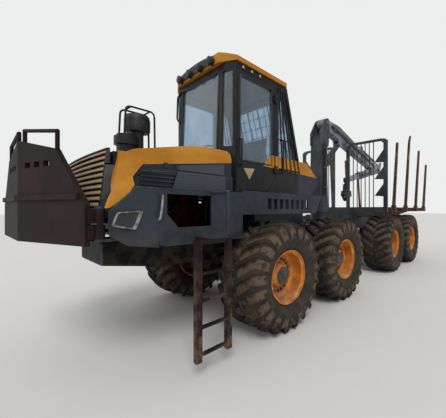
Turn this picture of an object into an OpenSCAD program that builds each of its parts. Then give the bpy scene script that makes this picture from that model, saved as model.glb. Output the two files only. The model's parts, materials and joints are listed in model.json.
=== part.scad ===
// Eight-wheel forestry forwarder: front frame with engine nose and cab, a middle joint that
// steers and rolls, and a rear frame with crane, headgate, bunks and stakes.
// Millimetres. +X is forward, +Y is the machine's left side, Z 0 is the ground.

/* [Layout] */
// From the origin forward to the middle joint's steering axis
joint_x = 402; // [350:0.5:450]
// From the steering axis forward to the centre of the front bogies
front_bogie_reach = 1845; // [1800:1:1900]
// From the steering axis back to the centre of the rear bogies
rear_bogie_reach = 2700; // [2650:1:2760]
// Distance between the two axles of a bogie
wheel_pitch = 1680; // [1650:1:1720]
// From the steering axis forward to the grille
nose_reach = 4640; // [4600:1:4700]
// From the steering axis forward to the foot of the windscreen
cab_front_reach = 3215; // [3180:1:3240]
// Length of the cab floor
cab_l = 1800; // [1760:1:1840]
// From the steering axis back to the rear end of the load frame
tail_reach = 6050; // [6000:1:6100]

/* [Wheels] */
// Tyre radius at the lug tips
tyre_r = 750; // [740:1:760]
// Tyre section width
tyre_w = 750; // [720:1:752]
// Height of the lugs
lug_h = 58; // [40:1:65]
// Lugs round one tyre
lug_n = 22; // [20:1:24]
// Distance across the machine between tyre centres
track = 2250; // [2240:1:2280]
// Bead radius of the rim
rim_r = 333; // [320:1:340]
// Radius of the rim flange
flange_r = 362; // [355:1:368]
// Width of the rim
rim_w = 606; // [590:1:620]
// Plate thickness of the rim
rim_t = 14; // [10:1:18]
// How far the hub disc lies inboard of the outer flange
dish = 215; // [180:1:230]
// Radius of the axle spindle
spindle_r = 90; // [80:1:100]
// Radius of the final drive drum
drum_r = 205; // [190:1:220]

/* [Frames] */
// Height of the frame's lower edge
frame_z0 = 950; // [930:1:960]
// Height of the frame's top edge
frame_z1 = 1290; // [1280:1:1300]
// Half the width over the front frame's side plates
rail_y = 420; // [400:1:430]
// Thickness of the front frame's side plates
rail_t = 40; // [25:1:50]
// Half the width of the load frame's spine
spine_y = 215; // [200:1:240]
// Height of the load floor above the ground
floor_z = 1720; // [1710:1:1730]
// Half the width of the bunks
bunk_y = 1340; // [1320:1:1360]
// Length of a bunk's foot along the machine
bunk_l = 150; // [130:1:170]
// Diameter of a stake at its foot
stake_d = 96; // [80:1:110]
// Lean of the stakes away from upright
stake_lean = 3; // [2:0.5:3.5]

/* [Nose and cab] */
// Half the width over the lower nose sides
nose_y = 1100; // [1080:1:1120]
// Half the width over the bonnet
bonnet_y = 900; // [880:1:920]
// Height of the ledge where the lower nose meets the louvre band
ledge_z = 1870; // [1860:1:1880]
// Height where the bonnet lid meets the louvre band
lid_z = 2080; // [2070:1:2090]
// Height of the bonnet at the windscreen
bonnet_z = 2470; // [2450:1:2490]
// Height of the bonnet at the grille
bonnet_nose_z = 2250; // [2230:1:2270]
// Thickness of sheet panels
skin = 30; // [20:1:36]
// Height of the cab floor
cab_z = 1900; // [1890:1:1910]
// Height of the cab's eaves
eaves_z = 3740; // [3720:1:3760]
// Half the width of the cab
cab_y = 790; // [780:1:800]
// Half the width of the cab's front face
cab_front_y = 560; // [540:1:580]
// Wall thickness of the cab
cab_t = 50; // [45:1:60]
// Pane thickness
glass_t = 8; // [6:1:10]

/* [Guard and ladder] */
// Half the width of the front guard at its foot
guard_y = 1010; // [990:1:1030]
// Angle that each half of the guard is folded back from square
guard_fold = 8; // [6:1:10]
// Angle that the guard stands ajar
guard_ajar = 10; // [8:1:12]
// Height of the guard's foot
guard_z0 = 1350; // [1330:1:1370]
// Height of the guard's shoulders
guard_z1 = 2190; // [2170:1:2210]
// Plate thickness of the guard
guard_t = 40; // [30:1:45]
// Ladder post thickness
post_d = 60; // [50:1:70]
// Distance between the ladder's posts
ladder_w = 360; // [340:1:380]
// Number of rungs
rung_n = 4; // [3:1:5]

/* [Crane] */
// From the steering axis back to the crane's slewing axis
crane_reach = 375; // [360:1:400]
// Height of the boom's pivot
boom_pivot_z = 3900; // [3880:1:3920]
// Distance from the slewing axis back to the boom's pivot
boom_pivot_u = 150; // [140:1:160]
// Length of the lift boom between its pins
boom_l = 3800; // [3750:1:3820]
// Angle that the parked boom dips towards the rear
boom_dip = 12.1; // [12:0.1:12.5]
// Width of the lift boom
boom_w = 220; // [200:1:230]
// Length of the jib from its pin to the end of the extension
jib_l = 2405; // [2380:1:2420]
// Angle of the parked jib from level, past upright
jib_dip = 166.7; // [166.5:0.1:168]
// Width of the jib
jib_w = 190; // [180:1:200]
// Height of the jib
jib_h = 210; // [200:1:220]
// Radius of the crane's hinge pins
pin_r = 45; // [40:1:50]
// Outer radius of the lift cylinder's barrel
lift_cyl_r = 78; // [70:1:82]
// Outer radius of the jib cylinder's barrel
jib_cyl_r = 62; // [55:1:66]
// Outer radius of the steering cylinders' barrels
steer_cyl_r = 50; // [45:1:55]

/* [Fits] */
// Running clearance of a pin in its bore
fit = 0.3; // [0.2:0.05:0.5]
// Side clearance between moving plates
side_gap = 6; // [5:0.5:8]

/* [Hidden] */
$fn = 48;

// Colours of the real finishes
yellow = "#C08A24";
grey = "#33373B";
black = "#1E1C1B";
brown = "#3A2A2B";
orange = "#C8641E";
rubber = "#2A2724";
tan = "#A08868";
rust = "#5A3A2C";
steel = "#77797A";
pale = "#8A9199";

// The tyres stand on a flat between two lugs
hub_z = tyre_r * cos(180 / lug_n);
wheel_y = track / 2;
front_axle_x = joint_x + front_bogie_reach;
rear_axle_x = joint_x - rear_bogie_reach;
half_pitch = wheel_pitch / 2;
nose_x = joint_x + nose_reach;
cab_front_x = joint_x + cab_front_reach;
cab_rear_x = cab_front_x - cab_l;
tail_x = joint_x - tail_reach;
crane_x = joint_x - crane_reach;
joint_z = (frame_z0 + frame_z1) / 2;
bogie_y = wheel_y - tyre_w / 2 - 30;
bogie_t = 250;
gate_reach = 1540;
gate_x = joint_x - gate_reach;
gate_top = 3530;
gate_gap = 190;

// Shape helpers

// Points of an arc about c from angle a0 to a1
function arc(c, r, a0, a1, n = 8) = [for (i = [0:n]) c + r * [cos(a0 + (a1 - a0) * i / n), sin(a0 + (a1 - a0) * i / n)]];
// An X-Z outline made into a plate from y0 to y1
module side(y0, y1) { translate([0, y1, 0]) rotate([90, 0, 0]) linear_extrude(y1 - y0) children(); }
// A Y-Z outline made into a plate from x0 to x1
module cross(x0, x1) { translate([x0, 0, 0]) rotate([90, 0, 90]) linear_extrude(x1 - x0) children(); }
// An X-Y outline made into a plate from z0 to z1
module plan(z0, z1) { translate([0, 0, z0]) linear_extrude(z1 - z0) children(); }
// The same on both sides of the machine
module both() { children(); mirror([0, 1, 0]) children(); }
// A box given by its low and high corners
module block(a, b) { translate(a) cube(b - a); }
module cyl_y(x, z, r, y0, y1) { translate([x, y1, z]) rotate([90, 0, 0]) cylinder(h = y1 - y0, r = r); }
module cyl_x(y, z, r, x0, x1) { translate([x0, y, z]) rotate([0, 90, 0]) cylinder(h = x1 - x0, r = r); }
// A round bar from p to q
module bar(p, q, r) {
    d = q - p;
    translate(p) rotate([0, acos(d[2] / norm(d)), atan2(d[1], d[0])]) cylinder(h = norm(d), r = r);
}
// A bent round bar through the points
module tube(pts, r) {
    for (i = [0:len(pts) - 2]) bar(pts[i], pts[i + 1], r);
    for (i = [1:len(pts) - 2]) translate(pts[i]) sphere(r = r + 1);
}
module round_rect(x0, y0, x1, y1, r) {
    polygon(concat(arc([x1 - r, y1 - r], r, 0, 90, 4), arc([x0 + r, y1 - r], r, 90, 180, 4),
                   arc([x0 + r, y0 + r], r, 180, 270, 4), arc([x1 - r, y0 + r], r, 270, 360, 4)));
}

// Wheels

// Tyre section, columns: radius of a lug, radius between lugs, place across, sweep in half lugs
bead_r = (rim_r + fit) / cos(90 / lug_n);
tyre_section = [[bead_r, bead_r, (rim_w / 2 - 33) / tyre_w, 0], [500, 500, 0.495, 0],
                [tyre_r - 42, tyre_r - 42 - lug_h, 0.47, 0], [tyre_r, tyre_r - lug_h, 0.25, 0.9]];
tyre_ring = concat(tyre_section, [for (i = [3:-1:0]) [for (j = [0:3]) tyre_section[i][j] * (j == 2 ? -1 : 1)]]);
module tyre(x, side_sign) {
    m = len(tyre_ring);
    n = 2 * lug_n;
    pts = [for (k = [0:n - 1]) for (p = tyre_ring)
           let (a = 180 / n + 360 * (k - 1.5 + p[3] - tyre_section[3][3]) / n + 90, r = k % 2 == 0 ? p[0] : p[1])
           [x + r * cos(a), side_sign * wheel_y + tyre_w * p[2], hub_z + r * sin(a)]];
    faces = [for (k = [0:n - 1]) for (j = [0:m - 1])
             let (k2 = (k + 1) % n, j2 = (j + 1) % m, a = k * m + j, b = k * m + j2, c = k2 * m + j2, d = k2 * m + j)
             each [[a, b, c], [a, c, d]]];
    color(rubber) polyhedron(pts, faces);
}

// Rim with a deep dish, hub disc and a blind bore for the spindle; s is the outer side's sign
hub_in = 120;
module rim(x, s) {
    out = rim_w / 2;
    disc = out - dish;
    color(orange) translate([x, s * wheel_y, hub_z]) rotate([-90 * s, 0, 0]) rotate_extrude()
        polygon([[spindle_r + fit, -hub_in], [150, -hub_in], [150, disc - 24], [rim_r - rim_t - 40, disc - 24],
                 [rim_r - rim_t, disc - 60], [rim_r - rim_t, -out + 30], [flange_r - rim_t, -out + 14],
                 [flange_r - rim_t, -out], [flange_r, -out], [flange_r, -out + 12], [rim_r, -out + 30],
                 [rim_r, out - 30], [flange_r, out - 12], [flange_r, out], [flange_r - rim_t, out],
                 [flange_r - rim_t, out - 14], [rim_r - rim_t, out - 34], [rim_r - rim_t, disc + 30],
                 [rim_r - rim_t - 40, disc], [178, disc], [170, disc + 45], [120, disc + 95], [60, disc + 110],
                 [0, disc + 110], [0, 40], [spindle_r + fit, 40]]);
}

// Bogie casings: a boxed beam with round ends, final drive drums and spindles
module bogie_pair(cx, top) {
    color(grey) both() {
        side(bogie_y - bogie_t, bogie_y) union() {
            for (s = [-1, 1]) translate([cx + s * half_pitch, hub_z]) circle(r = 225);
            polygon([[cx - half_pitch, hub_z - 225], [cx - 330, hub_z - 190], [cx + 330, hub_z - 190],
                     [cx + half_pitch, hub_z - 225], [cx + half_pitch, hub_z + 225], [cx + 300, hub_z + 290],
                     [cx - 300, hub_z + 290], [cx - half_pitch, hub_z + 225]]);
        }
        for (s = [-1, 1]) {
            cyl_y(cx + s * half_pitch, hub_z, drum_r, bogie_y, wheel_y - hub_in - 40);
            cyl_y(cx + s * half_pitch, hub_z, spindle_r, bogie_y, wheel_y + 40 - fit);
        }
    }
}
module front_bogies() { bogie_pair(front_axle_x); }
module rear_bogies() { bogie_pair(rear_axle_x); }

// Axle beam between the bogies, with the differential in the middle and saddles up to the frame
module axle(cx, saddle_y, saddle_z) {
    color(grey) {
        cyl_y(cx, hub_z, 165, -(bogie_y - bogie_t), bogie_y - bogie_t);
        translate([cx, 0, hub_z]) sphere(r = 255);
        both() side(saddle_y - 60, saddle_y)
            polygon([[cx - 130, hub_z], [cx + 130, hub_z], [cx + 240, saddle_z], [cx - 240, saddle_z]]);
    }
}
module front_axle() { axle(front_axle_x, rail_y, frame_z0); }
module rear_axle() { axle(rear_axle_x, spine_y, frame_z0 + 130); }

// Front frame

ear_r = 130;
ear_t = 60;
frame_rear = joint_x + 260;
module front_frame() {
    color(grey) difference() {
        union() {
            both() side(rail_y - rail_t, rail_y)
                polygon([[frame_rear, frame_z0], [nose_x - 700, frame_z0], [nose_x - 60, frame_z0 + 110],
                         [nose_x - 60, frame_z1], [frame_rear, frame_z1]]);
            // cross members under the engine, behind the axle and at the nose
            for (x = [frame_rear + 80, front_axle_x - 400, front_axle_x + 420, cab_front_x - 500, nose_x - 700])
                block([x - 60, -rail_y + rail_t, frame_z0], [x + 60, rail_y - rail_t, frame_z0 + 120]);
            block([nose_x - 100, -rail_y + rail_t, frame_z0 + 103], [nose_x - 60, rail_y - rail_t, frame_z1]);
            // lugs of the steering cylinders
            both() for (z = [joint_z - steer_cyl_r - side_gap - 24, joint_z + steer_cyl_r + side_gap])
                plan(z, z + 24) {
                    translate([joint_x + steer_pin[0], steer_pin[1]]) circle(r = 62);
                    block2([joint_x + steer_pin[0] - 62, steer_pin[1]], [joint_x + steer_pin[0] + 62, rail_y - rail_t]);
                }
        }
        both() translate([joint_x + steer_pin[0], steer_pin[1], frame_z0]) cylinder(h = frame_z1 - frame_z0, r = 25 + fit);
        // lightening holes in the side plates
        for (x = [front_axle_x + 700, front_axle_x + 1150]) cyl_y(x, joint_z, 80, -rail_y - 1, rail_y + 1);
    }
}
module block2(a, b) { translate(a) square(b - a); }

// Fork of the steering joint: two ears against the ends of the side plates, and a post between the ears
post_y = 120;
module front_fork() {
    color(grey) {
        difference() {
            for (z = [frame_z0, frame_z1 - ear_t]) plan(z, z + ear_t) {
                translate([joint_x, 0]) circle(r = ear_r);
                polygon([[joint_x, -ear_r], [frame_rear - fit, -rail_y], [frame_rear - fit, rail_y], [joint_x, ear_r]]);
            }
            translate([joint_x, 0, frame_z0 - 1]) cylinder(h = frame_z1 - frame_z0 + 2, r = 60 + fit);
        }
        block([frame_rear - ear_t, -post_y, frame_z0 + ear_t + fit], [frame_rear - fit, post_y, frame_z1 - ear_t - fit]);
    }
}

// Middle joint: upright sleeve and pin in the fork, arms for the steering rods, and the roll shaft

sleeve_r = 112;
roll_r = 180;
roll_x = joint_x - 190;
module middle_joint() {
    color(steel) {
        translate([joint_x, 0, frame_z0 + ear_t + fit]) cylinder(h = frame_z1 - frame_z0 - 2 * ear_t - 2 * fit, r = sleeve_r);
        translate([joint_x, 0, frame_z0 - 20]) cylinder(h = frame_z1 - frame_z0 + 40, r = 60);
        block([roll_x - 20, -90, joint_z - 105], [joint_x, 90, joint_z + 105]);
        cyl_x(0, joint_z, roll_r, roll_x - 100, roll_x);
        cyl_x(0, joint_z, 90, roll_x - 280, roll_x - 99);
        // arms below the steering rods' eyes
        both() {
            plan(joint_z - steer_cyl_r - side_gap - 30, joint_z - steer_cyl_r - side_gap) {
                translate([joint_x + steer_eye[0], steer_eye[1]]) circle(r = 60);
                polygon([[joint_x + 40, 0], [joint_x + steer_eye[0] + 58, steer_eye[1]],
                         [joint_x + steer_eye[0] - 58, steer_eye[1]], [roll_x, 60], [roll_x, 0]]);
            }
        }
    }
}

// Steering cylinders in plan: barrel pin on the front frame, rod eye over the joint's arm
steer_pin = [540, 215];
steer_eye = [-60, 200];
steer_v = steer_eye - steer_pin;
steer_len = norm(steer_v);
module steer_frame(s) {
    if (s < 0) mirror([0, 1, 0]) steer_place() children();
    else steer_place() children();
}
module steer_place() {
    translate([joint_x + steer_pin[0], steer_pin[1], joint_z]) rotate([0, 0, atan2(steer_v[1], steer_v[0])]) children();
}
// Barrel along local x: eye with its pin, tube and gland
module barrel(len_tube, r, rod_r, eye_r, pin, pin_half) {
    difference() {
        union() {
            cyl_z(eye_r, -r + 4, r - 4);
            rotate([0, 90, 0]) cylinder(h = len_tube, r = r);
        }
        translate([eye_r + 10, 0, 0]) rotate([0, 90, 0]) cylinder(h = len_tube, r = rod_r + fit);
    }
    cyl_z(pin, -pin_half, pin_half);
}
module cyl_z(r, z0, z1) { translate([0, 0, z0]) cylinder(h = z1 - z0, r = r); }
// Rod along local x: rod from x0 and its eye at x1
module rod(x0, x1, r, eye_r, eye_half, pin, pin_half) {
    translate([x0, 0, 0]) rotate([0, 90, 0]) cylinder(h = x1 - x0, r = r);
    translate([x1, 0, 0]) {
        cyl_z(eye_r, -eye_half, eye_half);
        cyl_z(pin, -pin_half, pin_half);
    }
}
steer_tube = 385;
module steer_barrel(s) {
    color(grey) steer_frame(s) barrel(steer_tube, steer_cyl_r, 28, 56, 25, steer_cyl_r + side_gap + 24);
}
module steer_rod(s) { color(pale) steer_frame(s) rod(222, steer_len, 28, 50, steer_cyl_r, 24, steer_cyl_r); }
module steer_barrel_left() { steer_barrel(1); }
module steer_barrel_right() { steer_barrel(-1); }
module steer_rod_left() { steer_rod(1); }
module steer_rod_right() { steer_rod(-1); }

// Engine: one block between the frame plates, with its sump and head
module engine() {
    x0 = cab_front_x - 560;
    x1 = nose_x - 640;
    color("#6E2A22") union() {
        block([x0, -300, frame_z0 + 120], [x1, 300, ledge_z - 120]);
        block([nose_rear_x + skin + 30, -190, ledge_z - 120], [x1 - 100, 190, lid_z - 20]);
    }
}

// Nose body: lower sides with an open bay on the left, ledge, louvre band and floor
bay = [[nose_x - 940, ledge_z - 400], [nose_x - 540, ledge_z - 400], [nose_x - 420, ledge_z - 260],
       [nose_x - 420, ledge_z - 60], [nose_x - 940, ledge_z - 60]];
nose_low = frame_z1;
nose_rear_x = cab_front_x + 20;
module nose_side_outline() {
    polygon([[nose_rear_x, nose_low], [nose_x - 420, nose_low], [nose_x - 120, nose_low + 60],
             [nose_x - 20, nose_low + 160], [nose_x - 20, ledge_z - 120], [nose_x - 130, ledge_z],
             [nose_rear_x, ledge_z]]);
}
module nose_body() {
    color(grey) difference() {
        union() {
            both() side(nose_y - skin, nose_y) nose_side_outline();
            both() side(bonnet_y - skin, bonnet_y) polygon([[nose_rear_x, ledge_z - skin], [nose_x - 60, ledge_z - skin],
                [nose_x - 100, lid_z], [nose_rear_x, lid_z]]);
            // ledges between the two widths
            both() block([nose_rear_x, bonnet_y - skin, ledge_z - skin], [nose_x - 130, nose_y - skin, ledge_z]);
            // floor
            block([nose_rear_x, -nose_y + skin, nose_low], [nose_x - 420, nose_y - skin, nose_low + skin]);
            // firewall
            block([nose_rear_x, -nose_y + skin, nose_low], [nose_rear_x + skin, nose_y - skin, ledge_z]);
            block([nose_rear_x, -bonnet_y, ledge_z - skin], [nose_rear_x + skin, bonnet_y, lid_z]);
            // front corner panels beside the grille
            both() difference() {
                block([nose_x - 90, bonnet_y - skin, nose_low + 160], [nose_x - 60, nose_y - skin, ledge_z - skin]);
                block([nose_x - 91, bonnet_y + 30, nose_low + 300], [nose_x - 59, nose_y - 60, ledge_z - 130]);
            }
            // brackets and pin of the guard's hinge
            for (z = guard_bracket_z) {
                block([nose_x - 60, guard_hinge[1] - 60, z], [guard_hinge[0], guard_hinge[1] + 30, z + 24]);
                translate([guard_hinge[0], guard_hinge[1], z]) cylinder(h = 24, r = 38);
            }
            translate([guard_hinge[0], guard_hinge[1], guard_bracket_z[0]]) cylinder(h = guard_bracket_z[1] - guard_bracket_z[0] + 24, r = 20);
            // louvre blades of the band
            both() for (i = [0:3]) block([nose_rear_x + 180, bonnet_y - 4, ledge_z + 30 + i * 42], [nose_x - 240, bonnet_y + 22, ledge_z + 46 + i * 42]);
        }
        // the open bay on the left side
        side(nose_y - skin - 2, nose_y + 2) polygon(bay);
        // seats of the bonnet's knuckles
        bonnet_knuckles(fit);
        // passage for the engine through floor and firewall
        block([nose_rear_x - 1, -330, frame_z0], [nose_x - 600, 330, nose_low + skin + 1]);
        block([nose_rear_x - 1, -330, frame_z0], [nose_rear_x + skin + 1, 330, lid_z - skin]);
    }
}

// Grille: frame and slats at the front of the nose
slat_n = 12;
module grille() {
    z0 = nose_low + 180;
    z1 = bonnet_nose_z - 50;
    step = (z1 - z0 - 60) / slat_n;
    color(tan) difference() {
        union() {
            difference() {
                block([nose_x - 100, -bonnet_y + skin + fit, z0], [nose_x - 20, bonnet_y - skin - fit, z1]);
                block([nose_x - 101, -bonnet_y + skin + 70, z0 + 50], [nose_x - 19, bonnet_y - skin - 70, z1 - 50]);
            }
            for (i = [0:slat_n - 1]) translate([nose_x - 60, 0, z0 + 60 + i * step])
                rotate([0, 35, 0]) block([-30, -bonnet_y + skin + 60, -6], [30, bonnet_y - skin - 60, 6]);
            block([nose_x - 95, -20, z0 + 40], [nose_x - 60, 20, z1 - 40]);
        }
    }
}

bonnet_rear_x = cab_front_x + 40;
// Knuckles of the bonnet's hinge on the right edge of the lid
knuckle_r = 14;
knuckle_l = 90;
bonnet_knuckle_x = [bonnet_rear_x + 285, nose_x - 380];
module bonnet_knuckles(gap) {
    for (x = bonnet_knuckle_x)
        translate([x - gap, -bonnet_y, lid_z]) rotate([0, 90, 0]) cylinder(h = knuckle_l + 2 * gap, r = knuckle_r + gap);
}

// Bonnet lid: side profile crossed with a section that has round shoulders, hollow below
module bonnet_profile(d) {
    polygon(concat([[bonnet_rear_x + d, lid_z + fit - (d > 0 ? 50 : 0)], [nose_x - 105 - d, lid_z + fit - (d > 0 ? 50 : 0)]],
                   arc([nose_x - 225 - d, bonnet_nose_z - 120 - d], 120, 0, 80, 6),
                   [[bonnet_rear_x + 500, bonnet_z - 60 - d], [bonnet_rear_x + d, bonnet_z - d]]));
}
module bonnet_section(d) {
    polygon(concat([[bonnet_y - d, lid_z - 100], [bonnet_y - d, bonnet_z - 260]],
                   arc([bonnet_y - 160, bonnet_z - 180 - d], 160 - d, 0, 80, 6),
                   [[0, bonnet_z + 5 - d]],
                   arc([-bonnet_y + 160, bonnet_z - 180 - d], 160 - d, 100, 180, 6),
                   [[-bonnet_y + d, bonnet_z - 260], [-bonnet_y + d, lid_z - 100]]));
}
module bonnet() {
    color(yellow) {
        difference() {
            intersection() {
                side(-bonnet_y - 1, bonnet_y + 1) bonnet_profile(0);
                cross(bonnet_rear_x - 1, nose_x) bonnet_section(0);
            }
            intersection() {
                side(-bonnet_y - 1, bonnet_y + 1) bonnet_profile(skin);
                cross(bonnet_rear_x + skin, nose_x) bonnet_section(skin);
            }
        }
        bonnet_knuckles(0);
    }
}

// Intake: pre-cleaner box and its hoop on the bonnet
module intake() {
    x = nose_x - 520;
    y = -250;
    z = bonnet_z - 140;
    color(black) {
        difference() {
            union() {
                translate([x, y, z]) cylinder(h = 330, r = 120);
                translate([x, y, z + 190]) cylinder(h = 110, r = 150);
            }
            // seat on the bonnet's top
            intersection() {
                side(-bonnet_y - 1, bonnet_y + 1) bonnet_profile(-fit);
                cross(bonnet_rear_x - 1, nose_x) bonnet_section(-fit);
            }
        }
    }
}

// Cab

cab_slope = 540;
cab_rake = 60;
roof_rise = 210;
roof_z = eaves_z + roof_rise;
module cab_profile(d) {
    polygon([[cab_rear_x + d, cab_z + d], [cab_front_x - d, cab_z + d], [cab_front_x - cab_rake - d, eaves_z - d],
             [cab_rear_x + cab_slope + d, eaves_z - d]]);
}
module cab_plan(d) {
    polygon([[cab_rear_x + d, -cab_y + d], [cab_front_x - 130, -cab_y + d], [cab_front_x - d, -cab_front_y + d],
             [cab_front_x - d, cab_front_y - d], [cab_front_x - 130, cab_y - d], [cab_rear_x + d, cab_y - d]]);
}
module cab_solid(d) {
    intersection() {
        side(-cab_y + d, cab_y - d) cab_profile(d);
        plan(cab_z + d, eaves_z - d) cab_plan(d);
    }
}
// Door outline in the left side, and the windows, as X-Z outlines grown by g
door_x0 = cab_front_x - 940;
door_x1 = cab_front_x - 145;
door_z0 = cab_z + 40;
door_z1 = eaves_z - 90;
door_pin_y = cab_y + 21;
door_hinge_z = [door_z0 + 300, door_z1 - 260];
module door_outline(g) {
    polygon([[door_x0 - g, door_z0 + 200 - g], [door_x0 + 180 - g, door_z0 - g], [door_x1 + g, door_z0 - g],
             [door_x1 + g, door_z1 + g], [door_x0 - g, door_z1 + g]]);
}
module quarter_window(g) {
    polygon([[cab_rear_x + 250 - g, cab_z + 420 - g], [door_x0 - 90 + g, cab_z + 420 - g],
             [door_x0 - 90 + g, eaves_z - 130 + g], [cab_rear_x + cab_slope + 110 - g, eaves_z - 130 + g]]);
}
module door_window(g) { round_rect(door_x0 + 70 - g, door_z0 + 420 - g, door_x1 - 60 + g, door_z1 - 70 + g, 50); }
module front_window(g) { round_rect(-cab_front_y + 60 - g, cab_z + 600 - g, cab_front_y - 60 + g, eaves_z - 90 + g, 50); }
module rear_window(g) { round_rect(-cab_y + 140 - g, cab_z + 500 - g, cab_y - 140 + g, eaves_z - 150 + g, 50); }
module cab_shell() {
    color(black) difference() {
        cab_solid(0);
        cab_solid(cab_t);
        side(0, cab_y + 1) door_outline(side_gap);
        both() side(0, cab_y + 1) quarter_window(0);
        side(-cab_y - 1, 0) door_window(0);
        cross(cab_front_x - 300, cab_front_x + 1) front_window(0);
        cross(cab_rear_x - 1, cab_rear_x + 800) rear_window(0);
        both() corner_window(0);
    }
    // hinge lugs and pins of the door
    color(black) for (z = door_hinge_z) {
        for (d = [0, 60 + 30 + 2 * fit]) {
            translate([door_x0, door_pin_y, z + d]) cylinder(h = 30, r = 18);
            block([door_x0 - 60, cab_y - 2, z + d], [door_x0 - side_gap - 1, door_pin_y, z + d + 30]);
            block([door_x0 - 60, cab_y + 2, z + d], [door_x0, door_pin_y, z + d + 30]);
        }
        translate([door_x0, door_pin_y, z]) cylinder(h = 120 + 2 * fit, r = 10);
    }
}
// Narrow pane in the chamfered front corner
corner_a = atan2(cab_y - cab_front_y, 130);
module corner_window(g) {
    l = norm([130, cab_y - cab_front_y]);
    translate([cab_front_x, cab_front_y, 0]) rotate([0, 0, 180 - corner_a])
        translate([50 - g, -120, cab_z + 640 - g]) cube([l - 100 + 2 * g, 300, eaves_z - cab_z - 770 + 2 * g]);
}
module cab_glass() {
    color("#9FB4C2", 0.5) {
        intersection() {
            union() {
                both() side(0, cab_y + 1) quarter_window(-fit);
                side(-cab_y - 1, 0) door_window(-fit);
                cross(cab_front_x - 300, cab_front_x + 1) front_window(-fit);
                cross(cab_rear_x - 1, cab_rear_x + 800) rear_window(-fit);
                both() corner_window(-fit);
            }
            difference() {
                cab_solid(18);
                cab_solid(18 + glass_t);
            }
        }
    }
}

// Roof: a band over the eaves and a crown arched both ways
module cab_roof() {
    over = 60;
    x0 = cab_rear_x + cab_slope - over;
    x1 = cab_front_x - cab_rake + over;
    xm = (x0 + x1) / 2;
    rx = 3200;
    ry = 2400;
    color(yellow) difference() {
        intersection() {
            side(-cab_y - 40, cab_y + 40)
                polygon(concat([[x0, eaves_z + fit], [x1, eaves_z + fit]], arc([xm, roof_z - rx], rx, 90 - asin((x1 - xm) / rx), 90 + asin((xm - x0) / rx), 12)));
            cross(x0, x1)
                polygon(concat([[-cab_y - 30, eaves_z + fit], [cab_y + 30, eaves_z + fit]], arc([0, roof_z - ry], ry, 90 - asin((cab_y + 30) / ry), 90 + asin((cab_y + 30) / ry), 12)));
            plan(eaves_z, roof_z) polygon([[x0, -cab_y + 80], [x0 + 100, -cab_y - 30], [x1 - 130, -cab_y - 30], [x1, -cab_front_y],
                                           [x1, cab_front_y], [x1 - 130, cab_y + 30], [x0 + 100, cab_y + 30], [x0, cab_y - 80]]);
        }
    }
}

// Tubular guard over the rear quarter windows
module cab_guard() {
    r = 13;
    y = cab_y + r + fit;
    color(black) both() {
        for (i = [0:4]) {
            t = i / 4;
            bar([cab_rear_x + 190 + t * 480, y, cab_z + 400], [cab_rear_x + cab_slope + 60 + t * 170, y, eaves_z - 60], r);
        }
        for (z = [cab_z + 430, (cab_z + eaves_z) / 2, eaves_z - 100])
            let (f = (z - cab_z) / (eaves_z - cab_z))
            bar([cab_rear_x + 60 + cab_slope * f, y, z], [door_x0 - 100, y, z], r - 3);
    }
    // bars over the rear window, which follow the sloping wall
    off = (r + fit) / cos(atan(cab_slope / (eaves_z - cab_z)));
    function wall_x(z) = cab_rear_x + cab_slope * (z - cab_z) / (eaves_z - cab_z) - off;
    rear_z = [cab_z + 440, eaves_z - 90];
    color(black) {
        for (i = [-2:2]) bar([wall_x(rear_z[0]), i * 270, rear_z[0]], [wall_x(rear_z[1]), i * 270, rear_z[1]], r);
        for (z = rear_z) bar([wall_x(z), -620, z], [wall_x(z), 620, z], r - 3);
    }
}

// Seat and console inside the cab
module seat() {
    cx = (cab_front_x + cab_rear_x) / 2 - 60;
    z = cab_z + cab_t;
    color(black) {
        translate([cx, 0, z]) cylinder(h = 260, r = 130);
        block([cx - 260, -260, z + 250], [cx + 260, 260, z + 420]);
        side(-240, 240) polygon([[cx - 260, z + 400], [cx - 130, z + 400], [cx - 210, z + 1150], [cx - 320, z + 1150]]);
        both() block([cx - 200, 290, z + 400], [cx + 220, 400, z + 560]);
        both() block([cx - 60, 240, z + 330], [cx + 40, 400, z + 400]);
    }
}

// Door on the left side, hinged at its rear edge
module cab_door() {
    color(black) difference() {
        side(cab_y - cab_t, cab_y) door_outline(0);
        side(0, cab_y + 1) door_window(0);
    }
    // knuckles on the hinge pins
    color(black) for (z = door_hinge_z) difference() {
        union() {
            translate([door_x0, door_pin_y, z + 30 + fit]) cylinder(h = 60, r = 18);
            block([door_x0 + 3, cab_y - 2, z + 30 + fit], [door_x0 + 40, door_pin_y, z + 90 + fit]);
        }
        translate([door_x0, door_pin_y, z]) cylinder(h = 120, r = 10 + fit);
    }
    color(steel) tube([[door_x1 - 50, cab_y - 12, door_z0 + 330], [door_x1 - 50, cab_y + 50, door_z0 + 360], [door_x1 - 50, cab_y + 50, door_z0 + 700],
                       [door_x1 - 50, cab_y - 12, door_z0 + 730]], 12);
}
module door_glass() { color("#9FB4C2", 0.5) side(cab_y - 18 - glass_t, cab_y - 18) door_window(-fit); }

// Cab base: tanks and casings between the frame and the cab floor
base_y = 700;
module cab_base() {
    color(grey) side(-base_y, base_y)
        polygon([[cab_rear_x - 60, frame_z1 + 160], [cab_rear_x + 60, frame_z1], [cab_front_x - 580, frame_z1],
                 [cab_front_x - 580, cab_z], [cab_rear_x - 60, cab_z]]);
}

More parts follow.
